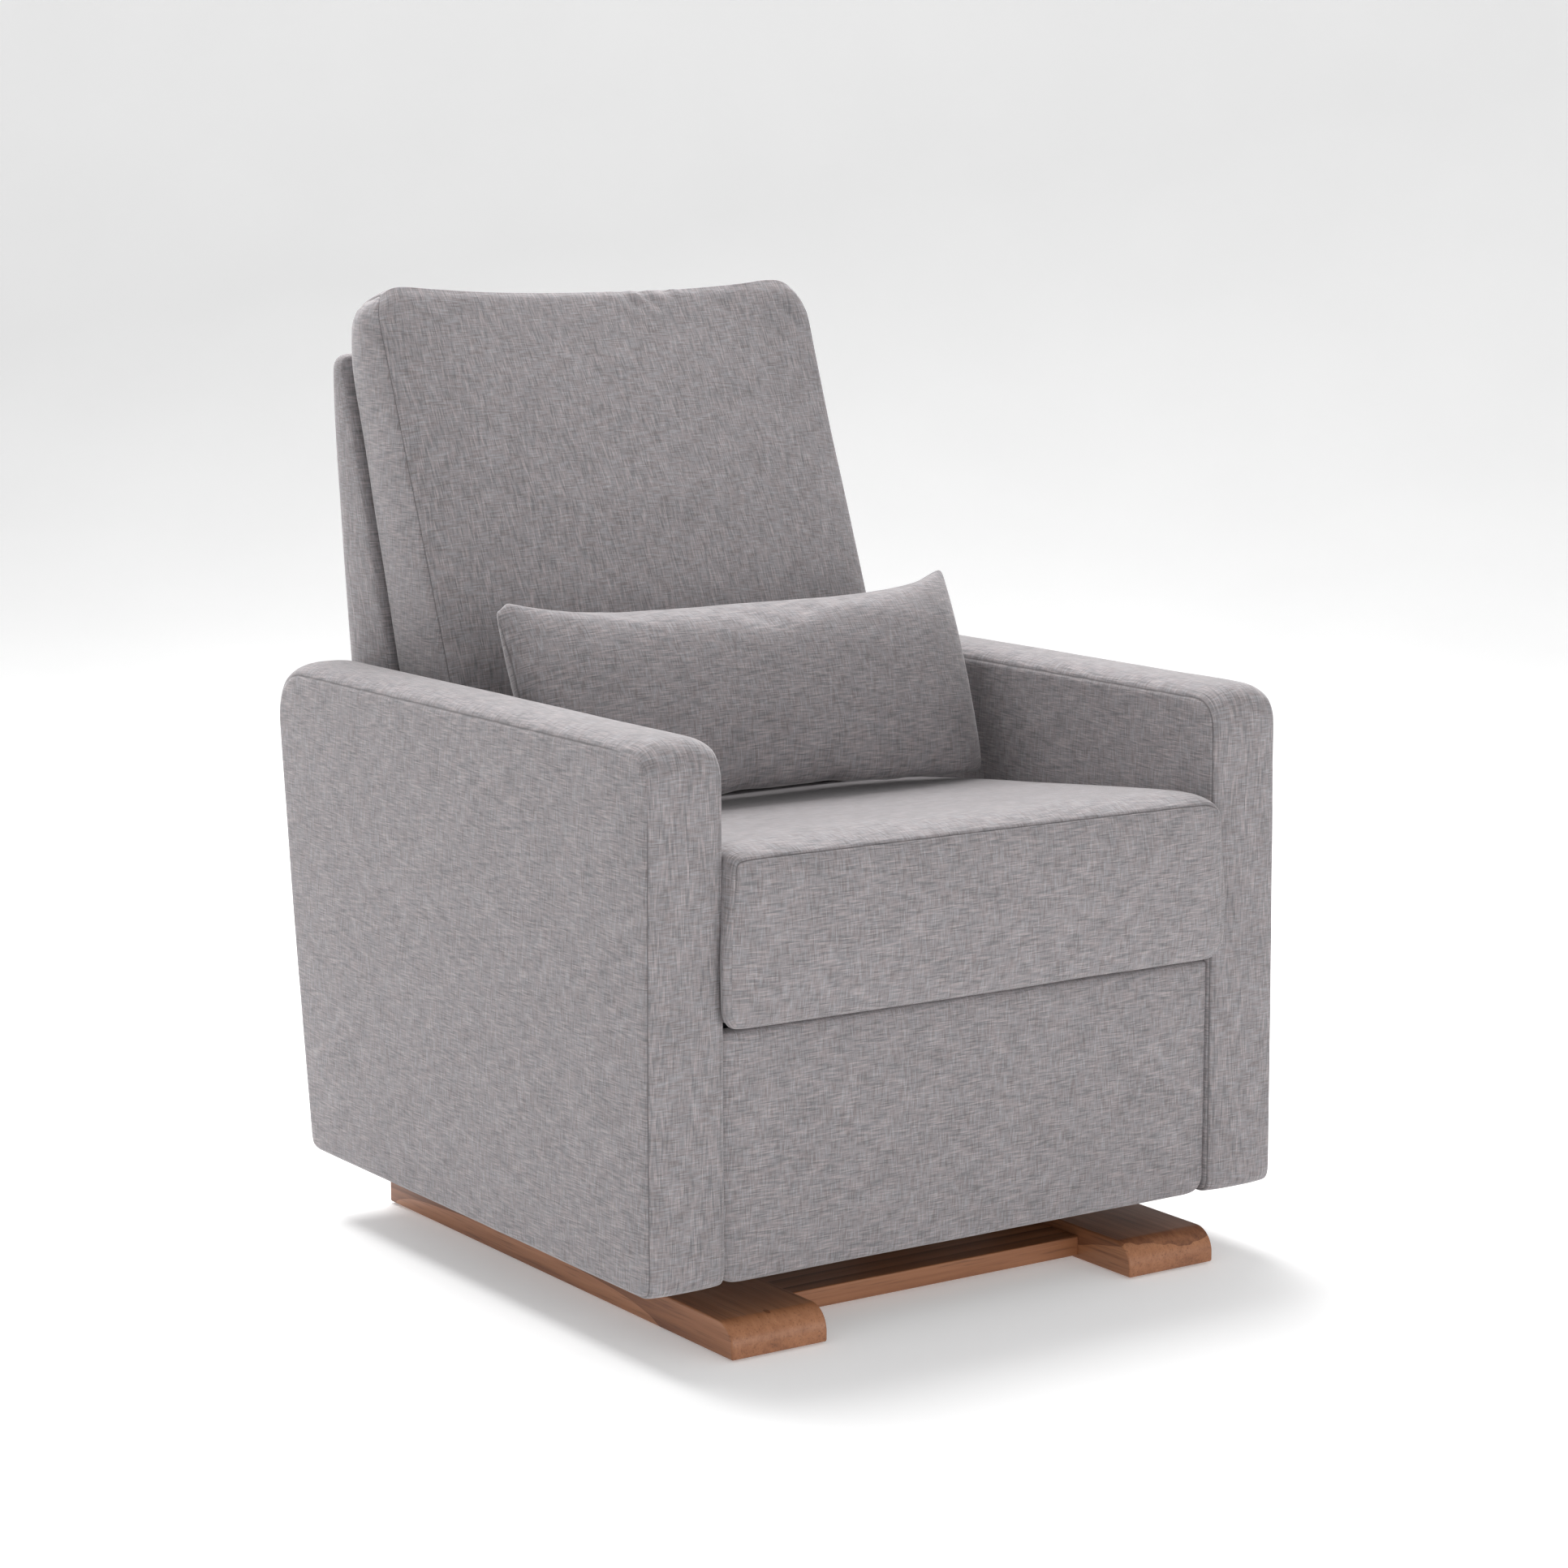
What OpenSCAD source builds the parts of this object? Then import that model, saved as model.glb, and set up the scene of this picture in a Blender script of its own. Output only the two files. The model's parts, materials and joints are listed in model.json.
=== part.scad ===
// Upholstered glider recliner: wood runner base, steel glide links, boxed seat,
// swing-out footrest, reclining back and a loose lumbar pillow.
// Millimetres. X is across the chair, -Y is the front, Z = 0 is the floor.

/* [Overall] */
// Width across the outside of the arms
chair_w = 750; // [730:5:790]
// Thickness of each arm
arm_t = 84; // [78:1:90]
// Height of the crown of the arms
arm_top_z = 590; // [570:5:610]
// Height of the lower edge of the arms
arm_low_z = 69; // [60:1:75]
// Height of the top of the back cushion
back_top_z = 983; // [970:1:1000]

/* [Base] */
// Width of each wood runner
runner_w = 108; // [100:1:110]
// Height of the runner's top face
runner_top_z = 35.5; // [32:0.5:38]
// Radius of the runner's rounded nose
runner_nose_r = 24; // [12:1:28]
// Thickness of the floor pads
pad_t = 1.5; // [1:0.5:3]
// Depth of the wood stretchers
stretcher_d = 95; // [80:5:110]
// Thickness of the glide stand plates
stand_t = 5; // [4:0.5:5]

/* [Glide] */
// Distance between the pivots of a swing link
link_len = 140; // [130:1:145]
// Height of the upper glide pivots
pivot_top_z = 235; // [230:1:240]
// Distance of the glide pivots from the middle of the chair
pivot_y = 130; // [120:1:140]
// Radius of the glide pivot pins
glide_pin_r = 5; // [4:0.25:6]

/* [Seat] */
// Height of the underside of the seat cushion
seat_low_z = 316; // [315:1:320]
// Height of the top front edge of the seat cushion
seat_front_z = 478; // [465:1:490]
// Height of the top rear edge of the seat cushion
seat_rear_z = 421; // [416:1:424]
// Number of sinuous seat springs
spring_count = 5; // [3:1:6]

/* [Footrest] */
// Distance between the pivots of each footrest link
foot_link_len = 160; // [158:1:161]
// Thickness of the footrest board
foot_board_t = 13; // [10:1:15]

/* [Back] */
// Thickness of the back cushion's boxed side at its foot
back_box_t = 119; // [112:1:122]
// How far the back cushion's face swells at its foot
back_crown = 62; // [40:1:66]

/* [Pillow] */
// Width of the lumbar pillow
pillow_w = 548; // [500:2:560]
// Height of the lumbar pillow along its own slope
pillow_h = 236; // [220:2:240]
// Thickness of the lumbar pillow
pillow_t = 140; // [110:2:144]

/* [Hidden] */
$fn = 48;
hull_fn = 28;
fit_gap = 0.05;
soft_gap = 0.5;

wood_col = [0.42, 0.24, 0.15];
inner_wood_col = [0.78, 0.63, 0.44];
fabric_col = [0.52, 0.50, 0.50];
fabric_dark_col = [0.47, 0.45, 0.45];
deck_col = [0.16, 0.16, 0.17];
steel_col = [0.12, 0.12, 0.13];
zinc_col = [0.70, 0.70, 0.72];
felt_col = [0.20, 0.19, 0.18];

half_w = chair_w / 2;
half_in = half_w - arm_t;

// Base layout
runner_x0 = half_in + 1 - runner_w;
runner_front_y = -388.5;
runner_rear_y = 282;
stretch_low_z = 5.5;
stretch_t = 20;
stretch_front_y = -305.5;
stretch_rear_y = 110;
pad_r = 14;
pad_inset = 60;
stand_x0 = half_in - 47;
foot_w = 38;
foot_t = 4;
foot_d = 96;
eye_r = 14;
link_t = 5;
link_x0 = stand_x0 - 8;
hanger_x0 = link_x0 - 8;
hanger_t = 5;
hanger_w = 36;
pivot_low_z = pivot_top_z - link_len;
pin_head_r = 9;
screw_r = 2.5;
screw_l = 26;
screw_head_r = 5;
screw_head_t = 2.5;
cross_r = 10;
cross_wall = 1.6;
cross_z = 150;

// Seat frame layout
rail_low_z = 270;
rail_top_z = 300;
side_front_y = -318;
side_rear_y = 190;
front_rail_y = -342;
rear_rail_y = 160;
rail_out = half_in - 1;
deck_low_z = 307;
deck_t = 4;
cushion_half = half_in - 2.5;
cushion_front_y = -399.5;
cushion_rear_y = 165;
spring_w = 3;
spring_z = 302;
spring_bend_r = 8.5;
spring_half = 20;
clip_l = 16;

// Arm layout: corner centres of the side outline
arm_front_y = -376;
arm_rear_top_y = 384;
arm_rear_low_y = 313;
arm_edge = 14;
arm_board_t = 18;
arm_board_front_y = -340;
arm_board_rear_y = 290;
arm_board_top_z = 530;
bolt_r = 4;
bolt_y = [-250, 0, 100];
bolt_z = 285;

// Footrest layout
foot_half = half_in - 5.5;
foot_front_y = -375;
foot_back_y = -349;
foot_low_z = 69;
foot_top_z = 309;
foot_a = [-225, 265];
foot_ang1 = -10;
foot_ang2 = 140;
foot_b = [
  foot_a[0] - foot_link_len * sin(foot_ang1),
  foot_a[1] - foot_link_len * cos(foot_ang1)
];
foot_c = [
  foot_b[0] - foot_link_len * sin(foot_ang2),
  foot_b[1] - foot_link_len * cos(foot_ang2)
];
foot_eye_r = 10;
foot_pin_r = 4;
foot_t2 = 4;
mech_x0 = half_in - 93;
rear_link_x0 = mech_x0 + 6;
front_link_x0 = rear_link_x0 + 6;
bracket_x0 = front_link_x0 + 6;
mech_low_z = 269;
lug_low_z = 251;
tube_r = 7;
tube_at = 0.75;
foot_board_half = foot_half - 20;
board_low_z = foot_low_z + 18;
board_top_z = foot_top_z - 14;

// Back layout
back_half = half_in - 7;
hinge_y = 322;
hinge_z = 326;
hinge_pin_r = 6;
hinge_plate_t = 4;
back_low_z = 296;
back_cap_z = 904;
back_rear_pts = [[398.5, 870], [399.5, 848], [397.5, 797], [388.5, 684], [376.5, 578], [345, 330]];
front_slope = 0.304;
front_ref = [281.3, 580.7];
cushion_slope = 0.3786;
cushion_ref = [198.2, 648.6];
cushion_low_z = 438;
cushion_back_half = half_in - 18;
cushion_corner_r = 40;
stile_w = 42;
stile_t = 24;
stile_low_z = 300;
stile_top_z = 860;
rail_h = 60;
web_t = 3;
web_w = 50;
web_count = 5;

// Rear lower panel
rear_panel_t = 16;
rear_panel_low = [300, 82];
rear_panel_top = [330, 280];

// Pillow
pillow_mid = [16, 562];
pillow_tilt = 20;
pillow_edge_t = 14;

function front_face_y(z) = front_ref[0] + (z - front_ref[1]) * front_slope;
function seam_y(z) = cushion_ref[0] + (z - cushion_ref[1]) * cushion_slope;

// ---------- helpers ----------

// Extrudes a (y, z) outline along X from x0 to x1
module side_plate(x0, x1) {
  translate([x0, 0, 0])
    rotate([90, 0, 90])
      linear_extrude(height = x1 - x0)
        children();
}

// A bar along X between x0 and x1, centred on (y, z)
module x_bar(x0, x1, y, z, r) {
  translate([x0, y, z])
    rotate([0, 90, 0])
      cylinder(h = x1 - x0, r = r);
}

module left_side() {
  mirror([1, 0, 0]) children();
}

module both_sides() {
  children();
  mirror([1, 0, 0]) children();
}

module front_and_rear() {
  children();
  mirror([0, 1, 0]) children();
}

module disc_at(y, z, r) {
  translate([y, z]) circle(r = r);
}

// A straight bar with round ends between two (y, z) points
module link_outline(p, q, r) {
  ang = atan2(q[1] - p[1], q[0] - p[0]);
  len = norm([q[0] - p[0], q[1] - p[1]]);
  disc_at(p[0], p[1], r);
  disc_at(q[0], q[1], r);
  translate([p[0], p[1]])
    rotate(ang)
      translate([0, -r * 0.8])
        square([len, r * 1.6]);
}

// ---------- base ----------

module runner_shape() {
  low = pad_t;
  h = runner_top_z - pad_t;
  side_plate(runner_x0, runner_x0 + runner_w) {
    translate([runner_front_y + runner_nose_r, low])
      square([runner_rear_y - runner_front_y - runner_nose_r, h]);
    translate([runner_front_y, low])
      square([runner_nose_r, h - runner_nose_r]);
    intersection() {
      disc_at(runner_front_y + runner_nose_r, low + h - runner_nose_r, runner_nose_r);
      translate([runner_front_y, low])
        square([runner_nose_r + 1, h]);
    }
  }
}

module runner_drilled() {
  difference() {
    runner_shape();
    screw_points() translate([0, 0, runner_top_z - screw_l])
      cylinder(h = screw_l + 1, r = screw_r + fit_gap);
  }
}

module screw_points() {
  for (py = [-pivot_y, pivot_y])
    for (dy = [-30, 30])
      translate([stand_x0 + stand_t + foot_w / 2, py + dy, 0])
        children();
}

module left_runner() {
  color(wood_col) left_side() runner_drilled();
}

module right_runner() {
  color(wood_col) runner_drilled();
}

module stretcher(y) {
  translate([-runner_x0, y, stretch_low_z])
    cube([runner_x0 * 2, stretcher_d, stretch_t]);
}

module front_stretcher() {
  color(wood_col) stretcher(stretch_front_y);
}

module rear_stretcher() {
  color(wood_col) stretcher(stretch_rear_y);
}

module floor_pads() {
  color(felt_col)
    both_sides()
      for (py = [runner_front_y + pad_inset, 0, runner_rear_y - pad_inset])
        translate([runner_x0 + runner_w / 2, py, 0])
          cylinder(h = pad_t, r = pad_r);
}

module stand_shape(py) {
  difference() {
    union() {
      side_plate(stand_x0, stand_x0 + stand_t)
        union() {
          polygon([
            [py - foot_d / 2, runner_top_z], [py + foot_d / 2, runner_top_z],
            [py + foot_d / 2, runner_top_z + 24], [py + eye_r, pivot_top_z],
            [py - eye_r, pivot_top_z], [py - foot_d / 2, runner_top_z + 24]
          ]);
          disc_at(py, pivot_top_z, eye_r);
        }
      translate([stand_x0, py - foot_d / 2, runner_top_z])
        cube([foot_w + stand_t, foot_d, foot_t]);
    }
    x_bar(stand_x0 - 1, stand_x0 + stand_t + 1, py, pivot_top_z, glide_pin_r + fit_gap);
    screw_points() translate([0, 0, runner_top_z - 1])
      cylinder(h = foot_t + 2, r = screw_r + fit_gap);
  }
}

module front_left_stand() {
  color(steel_col) left_side() stand_shape(-pivot_y);
}

module front_right_stand() {
  color(steel_col) stand_shape(-pivot_y);
}

module rear_left_stand() {
  color(steel_col) left_side() stand_shape(pivot_y);
}

module rear_right_stand() {
  color(steel_col) stand_shape(pivot_y);
}

module stand_screws() {
  color(zinc_col)
    both_sides()
      screw_points() {
        translate([0, 0, runner_top_z + foot_t - screw_l])
          cylinder(h = screw_l, r = screw_r);
        translate([0, 0, runner_top_z + foot_t])
          cylinder(h = screw_head_t, r = screw_head_r);
      }
}

module upper_glide_pins() {
  color(zinc_col)
    both_sides()
      front_and_rear() {
        x_bar(link_x0 - 1, stand_x0 + stand_t + 1, -pivot_y, pivot_top_z, glide_pin_r);
        x_bar(link_x0 - 2.5, link_x0 - 0.5, -pivot_y, pivot_top_z, pin_head_r);
        x_bar(stand_x0 + stand_t, stand_x0 + stand_t + 3, -pivot_y, pivot_top_z, pin_head_r);
      }
}

// ---------- glide links and carriage ----------

module swing_link(py) {
  difference() {
    side_plate(link_x0, link_x0 + link_t)
      union() {
        link_outline([py, pivot_top_z], [py, pivot_low_z], eye_r);
      }
    x_bar(link_x0 - 1, link_x0 + link_t + 1, py, pivot_top_z, glide_pin_r + fit_gap);
    x_bar(link_x0 - 1, link_x0 + link_t + 1, py, pivot_low_z, glide_pin_r + fit_gap);
  }
}

module front_left_link() {
  color(steel_col) left_side() swing_link(-pivot_y);
}

module front_right_link() {
  color(steel_col) swing_link(-pivot_y);
}

module rear_left_link() {
  color(steel_col) left_side() swing_link(pivot_y);
}

module rear_right_link() {
  color(steel_col) swing_link(pivot_y);
}

module hanger_shape(py) {
  difference() {
    side_plate(hanger_x0, hanger_x0 + hanger_t)
      union() {
        disc_at(py, pivot_low_z, hanger_w / 2);
        translate([py - hanger_w / 2, pivot_low_z])
          square([hanger_w, rail_top_z - pivot_low_z]);
      }
    x_bar(hanger_x0 - 1, hanger_x0 + hanger_t + 1, py, pivot_low_z, glide_pin_r + fit_gap);
  }
}

module front_left_hanger() {
  color(steel_col) left_side() hanger_shape(-pivot_y);
}

module front_right_hanger() {
  color(steel_col) hanger_shape(-pivot_y);
}

module rear_left_hanger() {
  color(steel_col) left_side() hanger_shape(pivot_y);
}

module rear_right_hanger() {
  color(steel_col) hanger_shape(pivot_y);
}

module lower_glide_pins() {
  color(zinc_col)
    both_sides()
      front_and_rear() {
        x_bar(hanger_x0 - 1, link_x0 + link_t + 1, -pivot_y, pivot_low_z, glide_pin_r);
        x_bar(hanger_x0 - 3, hanger_x0, -pivot_y, pivot_low_z, pin_head_r);
        x_bar(link_x0 + link_t + 0.3, stand_x0 - 0.7, -pivot_y, pivot_low_z, pin_head_r);
      }
}

module cross_tube(py) {
  difference() {
    x_bar(-hanger_x0, hanger_x0, py, cross_z, cross_r);
    x_bar(-hanger_x0 - 1, hanger_x0 + 1, py, cross_z, cross_r - cross_wall);
  }
}

module front_cross_tube() {
  color(steel_col) cross_tube(-pivot_y);
}

module rear_cross_tube() {
  color(steel_col) cross_tube(pivot_y);
}

// ---------- seat ----------

module side_rail_shape() {
  x0 = hanger_x0 + hanger_t;
  difference() {
    translate([x0, side_front_y, rail_low_z])
      cube([rail_out - x0, side_rear_y - side_front_y, rail_top_z - rail_low_z]);
    for (by = bolt_y)
      x_bar(x0 - 1, rail_out + 1, by, bolt_z, bolt_r + fit_gap);
  }
}

module left_seat_rail() {
  color(inner_wood_col) left_side() side_rail_shape();
}

module right_seat_rail() {
  color(inner_wood_col) side_rail_shape();
}

module front_seat_rail() {
  color(inner_wood_col)
    translate([-rail_out, front_rail_y, rail_low_z + 5])
      cube([rail_out * 2, side_front_y - front_rail_y, rail_top_z - rail_low_z - 5]);
}

module rear_seat_rail() {
  x0 = hanger_x0 + hanger_t;
  color(inner_wood_col)
    translate([-x0, rear_rail_y, rail_low_z])
      cube([x0 * 2, side_rear_y - rear_rail_y, rail_top_z - rail_low_z]);
}

// One sinuous spring in plan: cross bars joined by half rings
module spring_plan() {
  pitch = spring_bend_r * 2;
  bars = 28;
  y0 = side_front_y + 1;
  for (i = [0 : bars - 1])
    translate([-spring_half, y0 + i * pitch - spring_w / 2])
      square([spring_half * 2, spring_w]);
  for (i = [0 : bars - 2])
    translate([(i % 2 == 0 ? 1 : -1) * spring_half, y0 + (i + 0.5) * pitch])
      difference() {
        circle(r = spring_bend_r + spring_w / 2);
        circle(r = spring_bend_r - spring_w / 2);
        translate([(i % 2 == 0 ? -1 : 0) * 2 * spring_bend_r, -2 * spring_bend_r])
          square([2 * spring_bend_r, 4 * spring_bend_r]);
      }
}

module spring_spots() {
  pitch = (hanger_x0 * 2 - 60) / (spring_count - 1);
  for (i = [0 : spring_count - 1])
    translate([-(hanger_x0 - 30) + i * pitch, 0, 0])
      children();
}

module seat_springs() {
  color(zinc_col)
    spring_spots()
      translate([0, 0, spring_z])
        linear_extrude(height = spring_w)
          spring_plan();
}

module spring_clips() {
  color(zinc_col)
    spring_spots()
      for (cy = [side_front_y - clip_l, rear_rail_y + 1])
        translate([-clip_l / 2, cy, rail_top_z])
          cube([clip_l, clip_l - 1, 1.5]);
}

module seat_deck() {
  color(deck_col)
    translate([-rail_out, front_rail_y, deck_low_z])
      cube([rail_out * 2, side_rear_y - 25 - front_rail_y, deck_t]);
}

module cushion_outline(inset) {
  hull() {
    disc_at(cushion_front_y + 26, seat_low_z + 26, 26 - inset);
    disc_at(cushion_front_y + 31, seat_front_z - 31, 31 - inset);
    disc_at(cushion_front_y + 140, seat_front_z - 31 - 4, 31 - inset);
    disc_at(cushion_rear_y - 24, seat_rear_z - 24, 24 - inset);
    disc_at(cushion_rear_y - 24, seat_low_z + 24, 24 - inset);
  }
}

module seat_cushion() {
  edge = 12;
  color(fabric_col)
    hull() {
      side_plate(-cushion_half + edge, cushion_half - edge) cushion_outline(0, $fn = hull_fn);
      side_plate(-cushion_half, cushion_half) cushion_outline(edge, $fn = hull_fn);
    }
}

// ---------- arms ----------

module arm_outline(inset) {
  slant = (arm_rear_top_y - arm_rear_low_y) / (arm_top_z - arm_low_z);
  hull() {
    disc_at(arm_front_y + 34, arm_top_z - 34, 34 - inset);
    disc_at(arm_rear_top_y - 54, arm_top_z - 48, 48 - inset);
    disc_at(arm_front_y + 17, arm_low_z + 17, 17 - inset);
    disc_at(arm_rear_low_y + 17 * slant - 19, arm_low_z + 17, 17 - inset);
  }
}

module arm_cover_shape() {
  difference() {
    hull() {
      side_plate(half_in + arm_edge, half_w - arm_edge) arm_outline(0, $fn = hull_fn);
      side_plate(half_in, half_w) arm_outline(arm_edge, $fn = hull_fn);
    }
    arm_board_block(soft_gap);
    for (by = bolt_y)
      x_bar(half_in - 1, half_w - arm_t / 2, by, bolt_z, bolt_r + 0.4);
    hinge_bolt_spots()
      x_bar(half_in - 1, half_w - arm_t / 2, 0, 0, bolt_r + 0.4);
  }
}

module hinge_bolt_spots() {
  for (p = [[-24, -13], [-24, 13]])
    translate([0, hinge_y + p[0], hinge_z + p[1]])
      children();
}

// The board inside an arm; a positive grow gives the pocket, open at the foot
module arm_board_block(grow) {
  x0 = half_in + (arm_t - arm_board_t) / 2;
  low = arm_low_z + 6 - (grow > 0 ? 20 : 0);
  side_plate(x0 - grow, x0 + arm_board_t + grow)
    polygon([
      [arm_board_front_y - grow, low],
      [arm_board_rear_y - 16 + grow, low],
      [arm_board_rear_y + 20 + grow, arm_board_top_z - 200],
      [arm_board_rear_y + 20 + grow, arm_board_top_z + grow],
      [arm_board_front_y - grow, arm_board_top_z + grow]
    ]);
}

module arm_board_shape() {
  x0 = half_in + (arm_t - arm_board_t) / 2;
  difference() {
    arm_board_block(0);
    for (by = bolt_y)
      x_bar(x0 - 1, x0 + arm_board_t + 1, by, bolt_z, bolt_r + fit_gap);
    hinge_bolt_spots()
      x_bar(x0 - 1, x0 + arm_board_t + 1, 0, 0, bolt_r + fit_gap);
  }
}

module left_arm_board() {
  color(inner_wood_col) left_side() arm_board_shape();
}

module right_arm_board() {
  color(inner_wood_col) arm_board_shape();
}

module left_arm_cover() {
  color(fabric_dark_col) left_side() arm_cover_shape();
}

module right_arm_cover() {
  color(fabric_dark_col) arm_cover_shape();
}

module arm_bolts() {
  x0 = hanger_x0 + hanger_t;
  bolt_end = half_in + (arm_t + arm_board_t) / 2;
  color(zinc_col)
    both_sides() {
      for (by = bolt_y) {
        x_bar(x0, bolt_end, by, bolt_z, bolt_r);
        x_bar(x0 - 4, x0, by, bolt_z, bolt_r * 1.8);
      }
      hinge_bolt_spots() {
        x_bar(half_in - hinge_plate_t - 1, bolt_end, 0, 0, bolt_r);
        x_bar(half_in - hinge_plate_t - 2.5, half_in - hinge_plate_t - 1, 0, 0, bolt_r * 1.7);
      }
    }
}

module rear_panel() {
  lo = rear_panel_low;
  hi = rear_panel_top;
  r = rear_panel_t / 2;
  color(fabric_dark_col)
    side_plate(-foot_half, foot_half)
      hull() {
        disc_at(lo[0], lo[1] + r, r, $fn = hull_fn);
        disc_at(hi[0], hi[1] - r, r, $fn = hull_fn);
      }
}

// ---------- footrest ----------

module foot_rail_shape() {
  difference() {
    side_plate(mech_x0, mech_x0 + foot_t2)
      union() {
        translate([side_front_y, mech_low_z])
          square([rear_rail_y - side_front_y, rail_top_z - mech_low_z - 1]);
        translate([foot_a[0] - 20, lug_low_z])
          square([40, mech_low_z - lug_low_z + 1]);
      }
    x_bar(mech_x0 - 1, mech_x0 + foot_t2 + 1, foot_a[0], foot_a[1], foot_pin_r + fit_gap);
  }
}

module left_foot_rail() {
  color(steel_col) left_side() foot_rail_shape();
}

module right_foot_rail() {
  color(steel_col) foot_rail_shape();
}

// A pin through two plates, headed at both ends
module foot_pin(x0, x1, p) {
  x_bar(x0 - 1, x1 + 1, p[0], p[1], foot_pin_r);
  x_bar(x0 - 1.6, x0 - 0.1, p[0], p[1], foot_pin_r * 1.7);
  x_bar(x1 + 0.1, x1 + 1.6, p[0], p[1], foot_pin_r * 1.7);
}

module foot_rail_pins() {
  color(zinc_col) both_sides() foot_pin(mech_x0, rear_link_x0 + foot_t2, foot_a);
}

module foot_link(x0, p, q) {
  difference() {
    side_plate(x0, x0 + foot_t2)
      union() {
        link_outline(p, q, foot_eye_r);
      }
    x_bar(x0 - 1, x0 + foot_t2 + 1, p[0], p[1], foot_pin_r + fit_gap);
    x_bar(x0 - 1, x0 + foot_t2 + 1, q[0], q[1], foot_pin_r + fit_gap);
  }
}

module left_foot_rear_link() {
  color(steel_col) left_side() foot_link(rear_link_x0, foot_a, foot_b);
}

module right_foot_rear_link() {
  color(steel_col) foot_link(rear_link_x0, foot_a, foot_b);
}

module foot_torque_tube() {
  y = foot_a[0] + (foot_b[0] - foot_a[0]) * tube_at;
  z = foot_a[1] + (foot_b[1] - foot_a[1]) * tube_at;
  color(steel_col)
    difference() {
      x_bar(-rear_link_x0, rear_link_x0, y, z, tube_r);
      x_bar(-rear_link_x0 - 1, rear_link_x0 + 1, y, z, tube_r - cross_wall);
    }
}

module foot_link_pins() {
  color(zinc_col) both_sides() foot_pin(rear_link_x0, front_link_x0 + foot_t2, foot_b);
}

module left_foot_front_link() {
  color(steel_col) left_side() foot_link(front_link_x0, foot_b, foot_c);
}

module right_foot_front_link() {
  color(steel_col) foot_link(front_link_x0, foot_b, foot_c);
}

module footrest_board() {
  color(inner_wood_col)
    translate([-foot_board_half, foot_back_y - foot_board_t, board_low_z])
      cube([foot_board_half * 2, foot_board_t, board_top_z - board_low_z]);
}

module pad_outline(inset) {
  x = foot_half - 20;
  hull() {
    for (sx = [-1, 1]) {
      translate([sx * x, foot_low_z + 20]) circle(r = 20 - inset);
      translate([sx * x, foot_top_z - 20]) circle(r = 20 - inset);
    }
  }
}

module footrest_pad() {
  edge = 8;
  depth = foot_back_y - foot_front_y;
  color(fabric_dark_col)
    difference() {
      hull() {
        translate([0, foot_back_y, 0]) rotate([90, 0, 0])
          linear_extrude(height = depth) pad_outline(edge, $fn = hull_fn);
        translate([0, foot_back_y - 3, 0]) rotate([90, 0, 0])
          linear_extrude(height = depth - edge - 3) pad_outline(0, $fn = hull_fn);
      }
      translate([
        -foot_board_half - soft_gap, foot_back_y - foot_board_t - soft_gap,
        board_low_z - soft_gap
      ])
        cube([
          2 * (foot_board_half + soft_gap), foot_board_t + 10,
          board_top_z - board_low_z + 2 * soft_gap
        ]);
    }
}

module foot_bracket_shape() {
  difference() {
    union() {
      side_plate(bracket_x0, bracket_x0 + foot_t2)
        union() {
          disc_at(foot_c[0], foot_c[1], foot_eye_r + 2);
          polygon([
            [foot_c[0], foot_c[1] + foot_eye_r + 2], [foot_c[0], foot_c[1] - foot_eye_r - 2],
            [foot_back_y, foot_c[1] - 40], [foot_back_y, foot_c[1] + 40]
          ]);
        }
      translate([bracket_x0 - 24, foot_back_y, foot_c[1] - 40])
        cube([24 + foot_t2, 3, 80]);
    }
    x_bar(
      bracket_x0 - 1, bracket_x0 + foot_t2 + 1, foot_c[0], foot_c[1],
      foot_pin_r + fit_gap
    );
  }
}

module left_foot_bracket() {
  color(steel_col) left_side() foot_bracket_shape();
}

module right_foot_bracket() {
  color(steel_col) foot_bracket_shape();
}

module foot_bracket_pins() {
  color(zinc_col) both_sides() foot_pin(front_link_x0, bracket_x0 + foot_t2, foot_c);
}

// ---------- back ----------

module back_hinge_plates() {
  x1 = half_in - 1;
  color(steel_col)
    both_sides()
      difference() {
        side_plate(x1 - hinge_plate_t, x1)
          union() {
            disc_at(hinge_y, hinge_z, 16);
            translate([hinge_y - 34, hinge_z - 22]) square([34, 44]);
          }
        x_bar(x1 - hinge_plate_t - 1, x1 + 1, hinge_y, hinge_z, hinge_pin_r + fit_gap);
        hinge_bolt_spots()
          x_bar(x1 - hinge_plate_t - 1, x1 + 1, 0, 0, bolt_r + fit_gap);
      }
}

module back_hinge_pins() {
  color(zinc_col)
    both_sides()
      x_bar(back_half - 40, half_in - 1, hinge_y, hinge_z, hinge_pin_r);
}

module back_outline(inset) {
  hull() {
    for (p = back_rear_pts)
      disc_at(p[0] - 12, p[1], 12 - inset);
    disc_at(back_rear_pts[0][0] - 8.5, back_cap_z - 8, 8 - inset);
    disc_at(hinge_y + 8, back_low_z + 14, 14 - inset);
    disc_at(hinge_y - 30, back_low_z + 14, 14 - inset);
    disc_at(front_face_y(500) + 12, 500, 12 - inset);
    disc_at(front_face_y(880) + 12, 880, 12 - inset);
  }
}

module back_wide(h) {
  hull() {
    for (sx = [-1, 1]) {
      translate([sx * (back_half - h), back_cap_z - h]) circle(r = h);
      translate([sx * (back_half - 12), back_low_z + 12]) circle(r = 12);
    }
  }
}

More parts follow.
